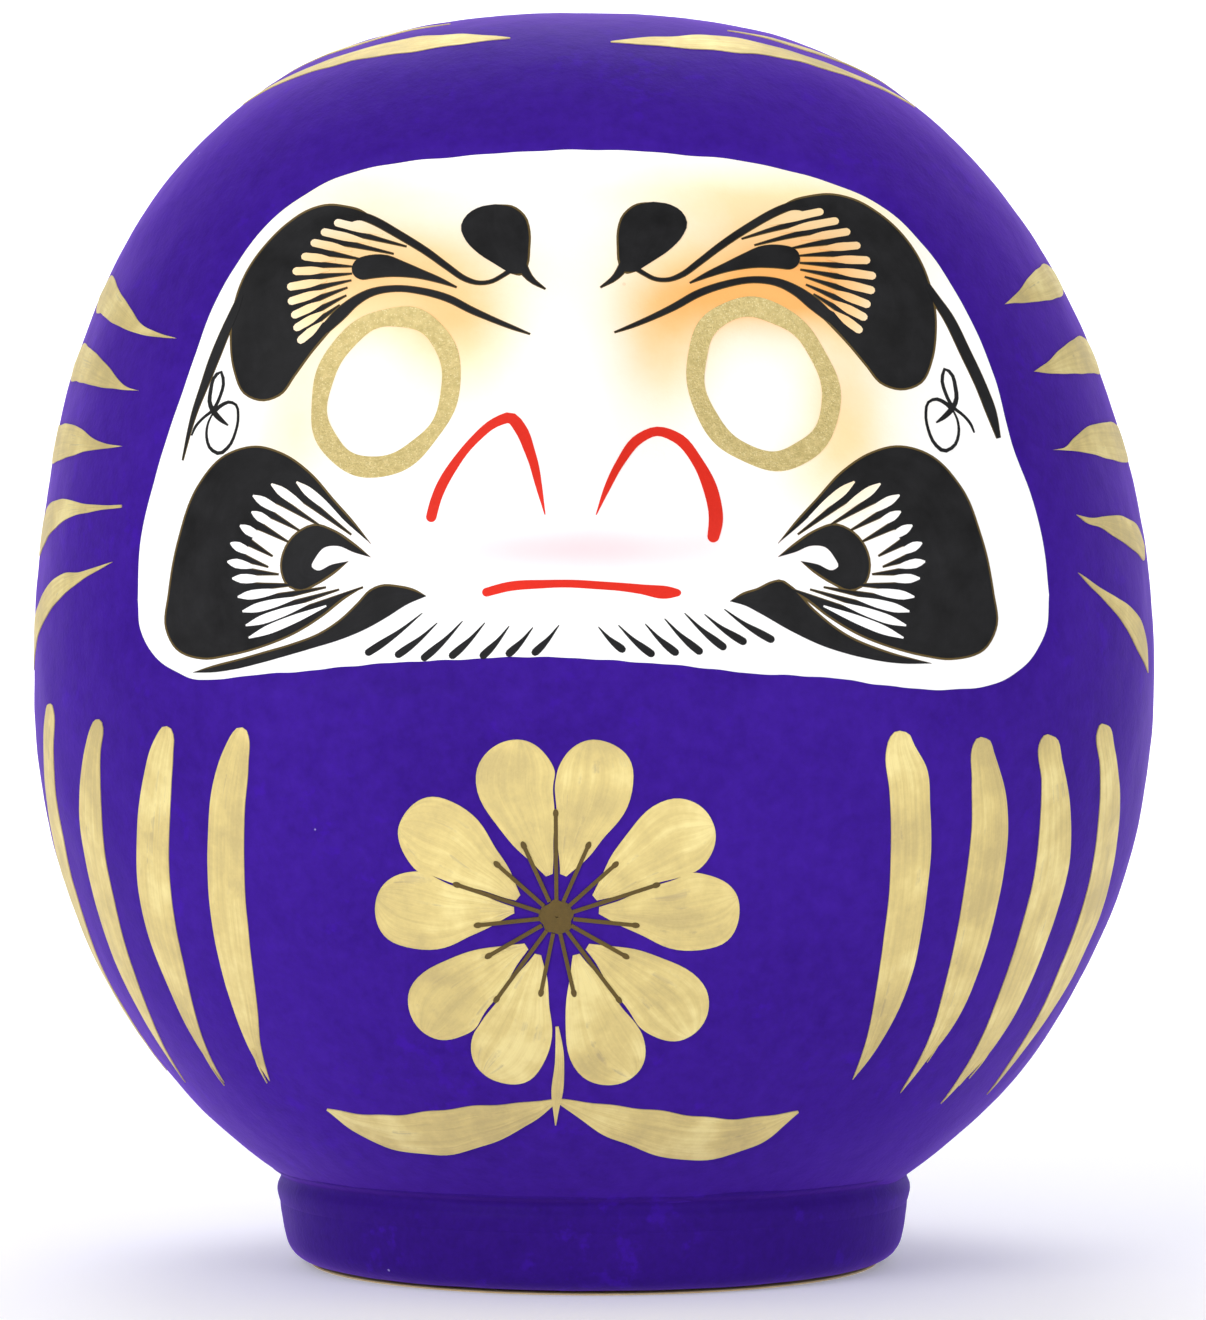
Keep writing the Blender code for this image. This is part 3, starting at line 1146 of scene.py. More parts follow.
@dataclass(frozen=True)
class Mirror:
    """How the right side differs from a pure reflection of the left, in millimetres.

    Near the face's middle a point moves by inner_shift and inner_rise, and further out it blends over the
    fade to outer_shift and outer_rise.
    """

    inner_shift: float = 0.0
    outer_shift: float = 0.0
    inner_rise: float = 0.0
    outer_rise: float = 0.0
    shift_fade: tuple[float, float] = (33.0, 60.0)
    rise_fade: tuple[float, float] = (10.0, 46.0)

    def spot(self, across: float, up: float) -> tuple[float, float]:
        """Where a point of the left side comes on the right.

        Args:
            across: Its place across, in millimetres.
            up: Its height in millimetres.

        Returns:
            Its place on the right.
        """
        shift = float(smooth_step(*self.shift_fade, abs(across)))
        rise = float(smooth_step(*self.rise_fade, abs(across)))
        across = -across + self.inner_shift + (self.outer_shift - self.inner_shift) * shift
        return across, up + self.inner_rise + (self.outer_rise - self.inner_rise) * rise

    def image(self, shape: Shape) -> Shape:
        """The same shape on the doll's other side.

        Args:
            shape: A Stroke or a Patch.

        Returns:
            Its image.
        """
        if isinstance(shape, Stroke):
            path = [(*self.spot(across, up), width) for across, up, width in shape.path]
            return Stroke(path, shape.round_start, shape.round_end, shape.wobble, shape.extra)
        edges = [[self.spot(*knot) for knot in edge] for edge in (shape.edge, shape.other_edge)]
        return Patch(edges[0], edges[1], shape.cell, shape.wobble)


@dataclass
class Coat:
    """One coat of paint: its shapes in one chart, its finish, and how high it lies over the skin."""

    name: str
    finish: Finish
    chart: Chart
    shapes: list[Shape]
    lift: float
    stagger: float = 0.004 * MM
    root: float = 0.06 * MM

    def lay(self, skin: bpy.types.Object) -> bpy.types.Object:
        """Wraps the coat on a skin and gives it its thickness.

        Args:
            skin: The body skin that it lies on.

        Returns:
            The coat as one piece, dressed.
        """
        sheets = []
        for index, shape in enumerate(self.shapes):
            flat, marks = shape.weave(index + 1)
            unit = 1 / DEGREE_LENGTH if self.chart is Chart.ROUND else MM
            points = FORM.lay(self.chart, flat[..., 0] * unit, flat[..., 1] * MM)
            sheet = woven_sheet(f"{self.name}_{index}", points, marks)
            wrap = sheet.modifiers.new("wrap", "SHRINKWRAP")
            wrap.target = skin
            wrap.wrap_method = "NEAREST_SURFACEPOINT"
            wrap.wrap_mode = "ABOVE_SURFACE"
            wrap.offset = self.lift + self.stagger * index
            apply_modifiers(sheet)
            sheets.append(sheet)
        piece = joined(self.name, sheets)
        thickness = piece.modifiers.new("thickness", "SOLIDIFY")
        thickness.thickness = self.lift + self.root
        thickness.offset = -1
        apply_modifiers(piece)
        piece.data.shade_smooth()
        bpy.ops.object.shade_smooth_by_angle(angle=math.radians(50))
        return self.finish.dress(piece)


# ---------------------------------------------------------------------------------------------------------
# Sub-assemblies
# ---------------------------------------------------------------------------------------------------------


def report(piece: bpy.types.Object) -> None:
    """Logs a finished piece."""
    log.info("%s: %d faces, %s", piece.name, len(piece.data.polygons), piece.data.materials[0].name)


@dataclass
class Body:
    """The moulded body: a front and a back skin that meet at the painted-over seam."""

    front_columns: int = 320
    back_columns: int = 150
    crown_rows: int = 60
    face_rows: int = 150
    belly_rows: int = 80
    crown_end: float = math.radians(38)
    face_end: float = math.radians(94)
    crown_ease: float = 1.35
    sleeve_bottom: float = 12 * MM
    seam_return: float = 2.4 * MM

    def polars(self, thinning: int) -> np.ndarray:
        """The polar angles of the rows from crown to neck, crowded over the face.

        Args:
            thinning: 1 for the finest rows, 2 for half of them.

        Returns:
            The angles in radians.
        """
        neck = FORM.neck_polar
        crown = self.crown_end * np.linspace(0, 1, self.crown_rows // thinning + 1) ** self.crown_ease
        face = np.linspace(self.crown_end, self.face_end, self.face_rows // thinning + 1)[1:]
        belly = np.linspace(self.face_end, neck, self.belly_rows // thinning + 1)[1:]
        return np.concatenate([crown, face, belly])

    def skin(self, name: str, start: float, columns: int, thinning: int) -> bpy.types.Object:
        """Half of the body.

        Args:
            name: The skin's name.
            start: The azimuth of its first column.
            columns: Quads round the half.
            thinning: 1 for the finest rows, 2 for half of them.

        Returns:
            The dressed skin.
        """
        azimuths = start + np.linspace(0, math.pi, columns + 1)
        grid, angles = np.meshgrid(azimuths, self.polars(thinning))
        points = FORM.wall(grid, angles)
        rings = [points]
        for height in (FORM.neck_height, self.sleeve_bottom):
            ring = np.stack(
                [
                    FORM.sleeve_radius * np.sin(azimuths),
                    -FORM.sleeve_radius * np.cos(azimuths),
                    np.full_like(azimuths, height),
                ],
                axis=-1,
            )
            rings.append(ring[None])
        points = np.concatenate(rings)
        inward = np.array([1.0, 0.0, 1.0])
        middle = np.array([0.0, 0.0, 110 * MM])
        edges = []
        for column in (0, -1):
            edge = points[:, column]
            away = (edge - middle) * inward
            reach = np.linalg.norm(away, axis=1)[:, None]
            edges.append(edge - away / reach * self.seam_return)
        points = np.concatenate([edges[0][:, None], points, edges[1][:, None]], axis=1)
        marks = np.stack([points[..., 0], points[..., 2]], axis=-1) * 100
        skin = woven_sheet(name, points, marks)
        skin = joined(name, [skin])
        roughen(skin, "slow_pulp_waves", 26 * MM, 0.9 * MM)
        roughen(skin, "quick_pulp_waves", 7 * MM, 0.16 * MM)
        apply_modifiers(skin)
        skin.data.shade_smooth()
        return PURPLE.dress(skin)

    def build(self) -> bpy.types.Object:
        """Builds both skins and gives the front one.

        Returns:
            The front skin.
        """
        front = self.skin("front_skin", -math.pi / 2, self.front_columns, 1)
        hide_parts("front_shell")
        back = self.skin("back_skin", math.pi / 2, self.back_columns, 2)
        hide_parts("back_shell")
        for skin in (front, back):
            report(skin)
        return front


@dataclass
class Foot:
    """The foot: its pulp wall, the paper band over the joint and the sheet underneath."""

    facets: int = 180
    wall_knots: Knots = (
        (58.5, 15.2), (59.6, 15.0), (60.4, 14.0), (60.7, 12.4), (60.4, 9.0), (59.9, 6.0), (59.3, 3.9),
        (58.2, 2.3), (56.6, 1.25), (54.0, 0.75), (52.0, 0.7),
    )  # fmt: skip
    band_knots: Knots = (
        (62.2, 19.6), (62.5, 18.8), (61.7, 18.1), (60.9, 17.5), (60.6, 16.9), (60.8, 16.2),
        (61.2, 15.3), (61.3, 14.4), (61.1, 13.2), (60.7, 12.0), (60.1, 11.2),
    )  # fmt: skip
    sheet_knots: Knots = ((0.0, 0.36), (54.7, 0.36), (55.0, 0.28), (55.0, 0.08), (54.8, 0.0), (0.0, 0.0))

    def ring(self, name: str, knots: Knots, count: int, finish: Finish, node: str) -> bpy.types.Object:
        """A turned piece of the foot with hand-made unevenness.

        Args:
            name: The piece's name.
            knots: Its profile in millimetres.
            count: Points along the smoothed profile, or 0 to keep the knots.
            finish: Its finish.
            node: The CAD node that it stands for.

        Returns:
            The dressed piece.
        """
        profile = np.array(knots, dtype=float)
        if count:
            profile = smooth_through(profile, np.linspace(0, 1, count))
        piece = turned(name, [tuple(point * MM) for point in profile], self.facets)
        if count:
            roughen(piece, name + "_waves", 14 * MM, 0.3 * MM)
            apply_modifiers(piece)
        finish.dress(piece)
        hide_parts(node)
        report(piece)
        return piece

    def build(self) -> None:
        """Builds the foot's three pieces."""
        # The wall and the band take the darker purple copy, which is painted shade.
        self.ring("foot_wall", self.wall_knots, 44, FOOT_PURPLE_PAINTED_SHADE, "foot_ring")
        self.ring("joint_band_skin", self.band_knots, 26, FOOT_PURPLE_PAINTED_SHADE, "joint_band")
        self.ring("base_sheet_skin", self.sheet_knots, 0, PAPER, "base_sheet")


@dataclass
class Insides:
    """The pieces inside the doll, whose shape is the CAD's."""

    finishes: tuple[tuple[str, Finish], ...] = (
        ("seam_strip", PAPER),
        ("base_board", BOARD),
        ("clay_weight", CLAY),
    )

    def dress(self) -> None:
        """Gives each node its finish."""
        for node, finish in self.finishes:
            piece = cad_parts[node]
            piece.data.materials.clear()
            piece.data.materials.append(finish.material())
            report(piece)


@dataclass
class Face:
    """The painted face: ground coat, brows, eyes, nose, mouth and beard."""

    brow_outer: Knots = (
        (-38.5, 197.5), (-40.6, 198.4), (-43.0, 199.1), (-46.0, 199.5), (-49.6, 198.7), (-53.5, 196.3),
        (-57.5, 192.4), (-61.1, 187.0), (-63.1, 181.0), (-63.6, 175.0), (-62.8, 169.5), (-60.8, 165.4),
        (-57.5, 164.1), (-54.2, 165.1), (-51.8, 168.3), (-49.0, 172.2), (-46.2, 175.6), (-43.4, 178.3),
    )  # fmt: skip
    brow_inner: Knots = (
        (-38.9, 196.3), (-41.0, 196.5), (-42.8, 195.7), (-44.8, 194.2), (-46.8, 192.0), (-48.4, 189.4),
        (-49.8, 186.6), (-50.5, 184.2), (-50.4, 181.8), (-49.8, 179.6), (-48.8, 178.0), (-47.2, 177.6),
        (-45.4, 178.6), (-43.4, 180.4),
    )  # fmt: skip
    brow_gaps: Knots = (
        (-45.0, 196.4), (-47.4, 194.7), (-49.2, 192.7), (-50.8, 190.1), (-52.3, 187.3),
        (-53.2, 184.4), (-53.0, 181.7), (-52.3, 179.1), (-51.8, 176.7), (-51.0, 174.3),
    )  # fmt: skip
    brow_hair_tips: Knots = ((-31.4, 191.4), (-33.7, 190.1), (-39.6, 189.2), (-41.2, 187.9), (-41.2, 186.6),
                             (-41.3, 185.4), (-42.0, 184.1), (-42.2, 182.7), (-43.4, 181.0))  # fmt: skip
    beard_outer: Knots = (
        (-37.0, 138.0), (-40.5, 141.9), (-43.9, 145.6), (-48.3, 150.4), (-53.4, 153.9), (-58.4, 155.3),
        (-64.0, 153.9), (-69.2, 148.4), (-72.6, 139.4), (-74.6, 129.4), (-75.2, 123.2), (-73.1, 119.4),
        (-67.6, 117.6), (-63.5, 118.2), (-57.0, 119.9), (-51.2, 122.2), (-46.0, 125.3), (-41.5, 128.7),
        (-38.3, 130.3),
    )  # fmt: skip
    beard_inner: Knots = (
        (-37.0, 138.0), (-40.8, 141.2), (-44.4, 144.4), (-48.0, 146.6), (-51.4, 146.8), (-54.4, 145.0),
        (-56.4, 142.4), (-58.2, 139.6), (-59.6, 136.8), (-60.0, 134.2), (-59.4, 131.4), (-58.4, 128.8),
        (-57.2, 126.4), (-56.0, 124.9), (-53.8, 124.0), (-49.2, 125.4), (-43.8, 128.5), (-38.3, 130.3),
    )  # fmt: skip
    beard_gaps: Knots = ((-50.5, 148.9), (-55.1, 148.6), (-58.5, 146.6), (-58.7, 143.7), (-60.8, 141.3),
                         (-62.6, 138.2), (-63.2, 134.9), (-62.3, 131.9), (-61.3, 128.6), (-60.4, 126.0),
                         (-59.8, 123.5), (-59.3, 121.3))  # fmt: skip
    beard_hair_tips: Knots = ((-40.5, 139.6), (-46.3, 141.3), (-49.8, 140.3), (-51.8, 138.3), (-54.7, 135.8),
                              (-55.5, 133.9), (-53.6, 132.6), (-50.0, 130.8), (-45.0, 130.3), (-42.6, 129.9),
                              (-38.3, 130.3))  # fmt: skip

    def ground(self) -> list[Shape]:
        """The white ground coat, between its top and its bottom edge.

        Returns:
            One patch.
        """
        top = (
            (-81.0, 128.0), (-80.6, 137.4), (-77.8, 150.0), (-74.5, 161.2), (-70.5, 172.5), (-66.1, 183.6),
            (-61.4, 191.6), (-56.3, 197.4), (-50.6, 201.6), (-42.6, 205.2), (-32.0, 207.2), (-20.0, 208.1),
            (-8.0, 208.8), (6.0, 209.0), (18.0, 208.2), (29.0, 207.2), (40.0, 205.0), (48.4, 202.4),
            (55.0, 198.8), (61.8, 192.2), (68.4, 182.4), (74.2, 168.8), (78.0, 155.4), (81.6, 145.4),
            (83.5, 137.4), (84.4, 129.0),
        )  # fmt: skip
        bottom = (
            (-81.0, 128.0), (-80.4, 122.6), (-77.6, 118.0), (-71.5, 114.4), (-56.0, 114.9), (-40.0, 116.4),
            (-24.0, 117.4), (-10.0, 118.0), (2.0, 117.7), (16.0, 116.6), (30.0, 115.2), (45.0, 114.2),
            (58.0, 112.5), (67.0, 112.0), (75.4, 113.5), (80.8, 117.3), (83.8, 122.7), (84.4, 129.0),
        )  # fmt: skip
        return [Patch(top, bottom, wobble=0.09)]

    def both_sides(self, shapes: list[Shape], mirror: Mirror) -> list[Shape]:
        """The shapes of the left side and their images on the right."""
        return shapes + [mirror.image(shape) for shape in shapes]

    def hairs(self, gaps: Knots, tips: Knots, width: float) -> list[Shape]:
        """Brush hairs, each rooted between two gaps and running to its fine tip.

        Args:
            gaps: The outer ends of the bare gaps between the hairs.
            tips: The hairs' tips, one fewer.
            width: The hairs' width at the root, in millimetres.

        Returns:
            The hairs' strokes.
        """
        strokes = []
        for above, below, tip in zip(gaps, gaps[1:], tips):
            root = np.add(above, below) / 2
            reach = np.subtract(tip, root)
            start, knee = root - reach * 0.03, root + reach * 0.3
            middle = root + reach * 0.62
            path = ((*start, width), (*knee, width * 0.52), (*middle, width * 0.29), (*tip, 0.1))
            strokes.append(Stroke(path))
        return strokes

    def gaps(self, ends: Knots, tips: Knots, widths: tuple[float, float], blunt: bool) -> list[Shape]:
        """The bare gaps between the hairs, where the ground coat shows through the ink.

        Args:
            ends: The gaps' outer ends.
            tips: The tips of the hairs on both sides of them.
            widths: A gap's width at its outer end and in its middle, in millimetres.
            blunt: Whether its outer end is rounded.

        Returns:
            The gaps' strokes.
        """
        knots = np.array(tips)
        first = knots[0] + (knots[0] - knots[1]) / 2
        last = knots[-1] + (knots[-1] - knots[-2]) / 2
        aims = [first, *((knots[:-1] + knots[1:]) / 2), last]
        strokes = []
        for end, aim in zip(ends, aims):
            reach = aim - end
            knee, middle, close = (end + reach * share for share in (0.14, 0.32, 0.62))
            path = ((*end, widths[0]), (*knee, widths[1]), (*middle, widths[1] * 1.05), (*close, 0.3))
            strokes.append(Stroke(path, round_start=blunt))
        return strokes

    def brow(self) -> list[Shape]:
        """The left brow: its mass, hairs, thin lines, inner drop, tail and the forehead's teardrop.

        Returns:
            The shapes.
        """
        upper_line = (
            (-43.0, 198.3, 1.2), (-38.8, 196.9, 1.35), (-32.5, 193.4, 1.25), (-27.5, 190.2, 1.1),
            (-23.8, 187.5, 0.95), (-20.7, 185.4, 0.8), (-18.5, 184.7, 0.6), (-16.1, 184.9, 0.55),
            (-14.0, 186.0, 0.6), (-12.5, 187.0, 0.7),
        )  # fmt: skip
        lower_line = (
            (-46.2, 176.6, 1.6), (-43.3, 179.4, 2.1), (-40.8, 181.5, 1.65), (-37.8, 183.1, 1.25),
            (-33.5, 183.8, 1.0), (-28.6, 183.3, 1.05), (-23.7, 181.9, 1.15), (-19.4, 179.7, 1.05),
            (-16.3, 178.3, 0.85), (-11.5, 176.3, 0.5), (-8.9, 175.3, 0.1),
        )  # fmt: skip
        drop = (
            (-41.2, 186.9, 3.6), (-38.5, 187.7, 4.1), (-35.4, 187.9, 3.9), (-32.3, 187.3, 2.7),
            (-28.6, 186.3, 1.5), (-25.6, 185.3, 0.9), (-22.2, 183.9, 0.1),
        )  # fmt: skip
        tear_right = (
            (-15.6, 199.1), (-12.3, 198.4), (-10.3, 196.6), (-9.5, 193.9), (-9.5, 190.8), (-9.8, 187.9),
            (-10.6, 186.4), (-12.7, 186.4),
        )  # fmt: skip
        tear_left = (
            (-15.6, 199.1), (-18.4, 198.6), (-20.7, 197.1), (-21.7, 194.9), (-20.8, 192.5),
            (-18.5, 190.1), (-15.3, 188.0), (-12.7, 186.4),
        )  # fmt: skip
        tear_tail = ((-10.6, 188.6, 1.2), (-10.2, 187.1, 1.5), (-9.0, 185.4, 1.0), (-6.3, 183.5, 0.1))
        return [
            Patch(self.brow_outer, self.brow_inner),
            *self.hairs(self.brow_gaps, self.brow_hair_tips, 2.3),
            Stroke(lower_line),
            Stroke(upper_line),
            Stroke(drop, round_start=True),
            Patch(tear_right, tear_left),
            Stroke(tear_tail),
        ]

    def tails(self) -> list[Shape]:
        """The long hair that runs down from each brow's outer side.

        Returns:
            A stroke for each side.
        """
        left = (
            (-61.9, 183.4, 0.9), (-62.9, 180.8, 1.4), (-64.6, 177.1, 1.6), (-66.7, 172.2, 1.7),
            (-68.8, 166.7, 1.3), (-70.4, 162.2, 0.9), (-71.6, 157.5, 0.5), (-72.5, 153.3, 0.1),
        )  # fmt: skip
        right = (
            (62.2, 185.2, 0.9), (63.8, 182.6, 1.4), (66.1, 179.1, 1.7), (69.0, 173.1, 1.8),
            (72.0, 166.5, 1.8), (73.8, 161.8, 1.7), (75.1, 157.3, 0.6),
        )  # fmt: skip
        return [Stroke(left), Stroke(right)]

    def beard(self) -> list[Shape]:
        """The left side of the beard: mass, hairs and crescent.

        Returns:
            The shapes.
        """
        crescent_outer = (
            (-37.0, 135.6), (-40.1, 137.8), (-43.8, 140.2), (-47.0, 141.2), (-50.2, 139.8), (-52.4, 136.9),
            (-53.0, 133.7), (-52.0, 130.9), (-49.6, 129.9), (-46.9, 131.0), (-43.4, 133.2), (-41.0, 134.9),
        )  # fmt: skip
        crescent_inner = (
            (-37.0, 135.6), (-40.1, 136.5), (-42.9, 137.6), (-45.4, 137.3), (-46.9, 135.6), (-47.6, 133.9),
            (-46.7, 133.3), (-44.0, 134.3), (-41.0, 134.9),
        )  # fmt: skip
        return [
            Patch(self.beard_outer, self.beard_inner),
            *self.hairs(self.beard_gaps, self.beard_hair_tips, 2.6),
            Patch(crescent_outer, crescent_inner),
        ]

    def lobes(self) -> list[Shape]:
        """The lobe along each side of the jaw, under the beard.

        Returns:
            A patch for each side.
        """
        left_top = (
            (-27.0, 128.7), (-29.2, 129.6), (-32.2, 130.3), (-35.0, 130.4), (-36.9, 129.6),
            (-38.9, 127.5), (-42.5, 124.2), (-46.2, 121.9), (-51.2, 120.0), (-56.8, 118.4),
            (-61.3, 117.1), (-65.8, 115.9), (-69.7, 114.9),
        )  # fmt: skip
        left_bottom = (
            (-27.0, 128.7), (-30.3, 127.3), (-34.0, 125.0), (-37.6, 123.0), (-42.5, 121.0),
            (-47.5, 119.5), (-52.4, 118.1), (-57.5, 116.7), (-61.9, 115.6), (-65.8, 115.0),
            (-69.7, 114.9),
        )  # fmt: skip
        right_top = (
            (26.6, 127.8), (29.0, 129.0), (31.5, 129.8), (34.0, 131.0), (35.5, 131.3), (37.3, 130.2),
            (41.3, 126.1), (46.6, 122.0), (54.8, 118.5), (62.5, 116.7),
        )  # fmt: skip
        right_bottom = (
            (26.6, 127.8), (29.4, 127.0), (31.5, 125.9), (37.3, 122.6), (43.1, 119.9), (50.1, 117.8),
            (57.2, 116.7), (62.5, 116.7),
        )  # fmt: skip
        return [Patch(left_top, left_bottom), Patch(right_top, right_bottom)]

    def brow_bare_gaps(self) -> list[Shape]:
        """The left brow's bare gaps, rounded where they end."""
        return self.gaps(self.brow_gaps, self.brow_hair_tips, (1.45, 1.45), True)

    def beard_bare_gaps(self) -> list[Shape]:
        """The bare gaps on the beard's left side, pointed where they end."""
        return self.gaps(self.beard_gaps, self.beard_hair_tips, (0.3, 1.5), False)

    def chin_hairs(self) -> list[Shape]:
        """The short hairs under the mouth, fine above and thick below.

        Returns:
            The strokes of both sides.
        """
        hairs = (
            (-27.7, 125.7, -37.9, 118.4), (-25.0, 124.0, -32.5, 118.0), (-20.5, 124.3, -27.8, 117.4),
            (-16.5, 124.0, -22.8, 117.8), (-12.2, 123.4, -17.3, 117.8), (-8.0, 123.2, -12.7, 118.2),
            (-3.4, 123.6, -8.1, 118.4), (3.5, 123.3, 8.2, 119.0), (7.0, 123.6, 13.3, 118.2),
            (11.7, 123.8, 17.5, 118.4), (15.1, 124.7, 21.7, 118.6), (18.6, 125.7, 25.9, 119.4),
            (22.1, 125.5, 29.5, 120.4), (25.6, 126.4, 34.4, 120.8),
        )  # fmt: skip
        strokes = []
        for top_x, top_z, low_x, low_z in hairs:
            path = (
                (top_x, top_z, 0.15),
                (top_x * 0.6 + low_x * 0.4, top_z * 0.6 + low_z * 0.4 - 0.35, 0.75),
                (top_x * 0.25 + low_x * 0.75, top_z * 0.25 + low_z * 0.75 - 0.2, 1.35),
                (low_x, low_z, 1.35),
            )
            strokes.append(Stroke(path, round_end=True))
        return strokes

    def side_curls(self) -> list[Shape]:
        """A looped tendril beside each brow, as a thin line: a narrow loop, a wide loop and two tails.

        Returns:
            The strokes of both sides.
        """
        narrow = (
            (-70.9, 157.8, 0.3), (-70.2, 159.4, 0.5), (-68.9, 160.9, 0.5), (-67.0, 162.4, 0.6),
            (-65.7, 164.9, 0.6), (-65.1, 167.6, 0.6), (-65.7, 169.4, 0.6), (-66.8, 168.5, 0.6),
            (-67.5, 166.1, 0.7), (-67.6, 163.6, 0.8), (-66.9, 162.2, 1.0), (-65.5, 160.7, 0.9),
            (-63.9, 159.5, 0.3),
        )  # fmt: skip
        wide = (
            (-67.1, 161.6, 0.7), (-65.6, 163.1, 0.7), (-63.8, 163.8, 0.6), (-62.5, 163.2, 0.5),
            (-62.0, 161.0, 0.5), (-62.4, 158.2, 0.5), (-63.6, 155.6, 0.6), (-65.3, 154.4, 0.7),
            (-67.1, 155.3, 0.6), (-68.0, 157.6, 0.5), (-67.8, 160.0, 0.4), (-67.0, 161.8, 0.3),
        )  # fmt: skip
        left: list[Shape] = [Stroke(narrow), Stroke(wide)]
        return self.both_sides(left, Mirror(-0.3, -0.3, 0.4, 0.4))

    def fringe(self, shapes: Iterable[Shape]) -> list[Shape]:
        """The thin olive line that the ink's water leaves along its outer edges.

        Args:
            shapes: The shapes of ink.

        Returns:
            The line of each.
        """
        lines = []
        for shape in shapes:
            if isinstance(shape, Patch):
                widths = [0.1, *(0.75 for _ in shape.edge[2:]), 0.1]
                lines.append(Stroke([(*knot, width) for knot, width in zip(shape.edge, widths)]))
            elif isinstance(shape, Stroke):
                lines.append(Stroke(shape.path, shape.round_start, shape.round_end, extra=0.3))
        return lines

    def nose(self) -> list[Shape]:
        """The two red nostril arcs.

        Returns:
            A stroke for each side.
        """
        left = (
            (-26.3, 141.8, 1.8), (-25.4, 145.6, 1.9), (-23.4, 150.0, 1.8), (-18.6, 156.2, 1.5),
            (-14.6, 159.5, 1.7), (-12.2, 160.2, 2.0), (-10.2, 158.1, 2.1), (-8.3, 153.6, 1.8),
            (-6.8, 148.0, 1.1), (-5.7, 143.0, 0.15),
        )  # fmt: skip
        right = (
            (3.2, 143.0, 0.15), (5.0, 147.4, 1.0), (7.4, 152.2, 1.5), (10.3, 156.2, 1.7),
            (13.6, 157.8, 1.7), (17.4, 156.6, 1.9), (21.0, 152.2, 2.1), (23.4, 146.6, 2.5),
            (24.1, 142.2, 2.5), (23.4, 138.2, 1.8),
        )  # fmt: skip
        return [Stroke(left, round_start=True, wobble=0.15), Stroke(right, round_end=True, wobble=0.15)]

    def mouth(self) -> list[Shape]:
        """The straight red mouth.

        Returns:
            One stroke.
        """
        line = (
            (-17.0, 129.2, 1.5), (-13.0, 130.3, 1.7), (-6.0, 130.9, 1.5), (3.0, 130.7, 1.4),
            (11.0, 130.0, 1.7), (15.6, 129.4, 2.3), (18.0, 129.3, 1.0),
        )  # fmt: skip
        return [Stroke(line, round_start=True, round_end=True, wobble=0.15)]

    def build(self, skin: bpy.types.Object) -> None:
        """Lays the face's coats on the front skin.

        Args:
            skin: The front skin.
        """
        brow_mirror = Mirror(-2.8, 0.0, 0.3, 1.9)
        beard_mirror = Mirror(-1.9, -0.9, 0.0, 0.0, (64.0, 75.0))
        brows = self.both_sides(self.brow(), brow_mirror) + self.tails()
        beards = self.both_sides(self.beard(), beard_mirror) + self.lobes()
        gaps = self.both_sides(self.brow_bare_gaps(), brow_mirror)
        gaps += self.both_sides(self.beard_bare_gaps(), beard_mirror)
        hairs, curls = self.chin_hairs(), self.side_curls()
        eyes: list[Shape] = [
            Hoop((-34.9, 165.2), (16.0, 13.0), (12.3, 9.9), 26.0),
            Hoop((32.4, 166.5), (16.2, 13.0), (12.5, 9.9), -27.0),
        ]
        coats = (
            Coat("face_ground", FACE_WHITE, Chart.FRONT, self.ground(), 0.12 * MM),
            Coat("ink_fringe", SEPIA, Chart.FRONT, self.fringe(brows + beards), 0.16 * MM, 0.0002 * MM),
            Coat("brow_ink", INK, Chart.FRONT, brows, 0.20 * MM, 0.002 * MM),
            Coat("beard_ink", INK, Chart.FRONT, beards, 0.20 * MM, 0.002 * MM),
            Coat("hair_gaps", FACE_WHITE, Chart.FRONT, gaps, 0.27 * MM, 0.0005 * MM),
            Coat("chin_hairs", INK, Chart.FRONT, hairs, 0.18 * MM),
            Coat("side_curls", INK, Chart.FRONT, curls, 0.18 * MM),
            Coat("eye_rings", GLITTER, Chart.FRONT, eyes, 0.24 * MM),
            Coat("nose_lines", VERMILION, Chart.FRONT, self.nose(), 0.22 * MM),
            Coat("mouth_line", VERMILION, Chart.FRONT, self.mouth(), 0.22 * MM),
        )
        for coat in coats:
            report(coat.lay(skin))


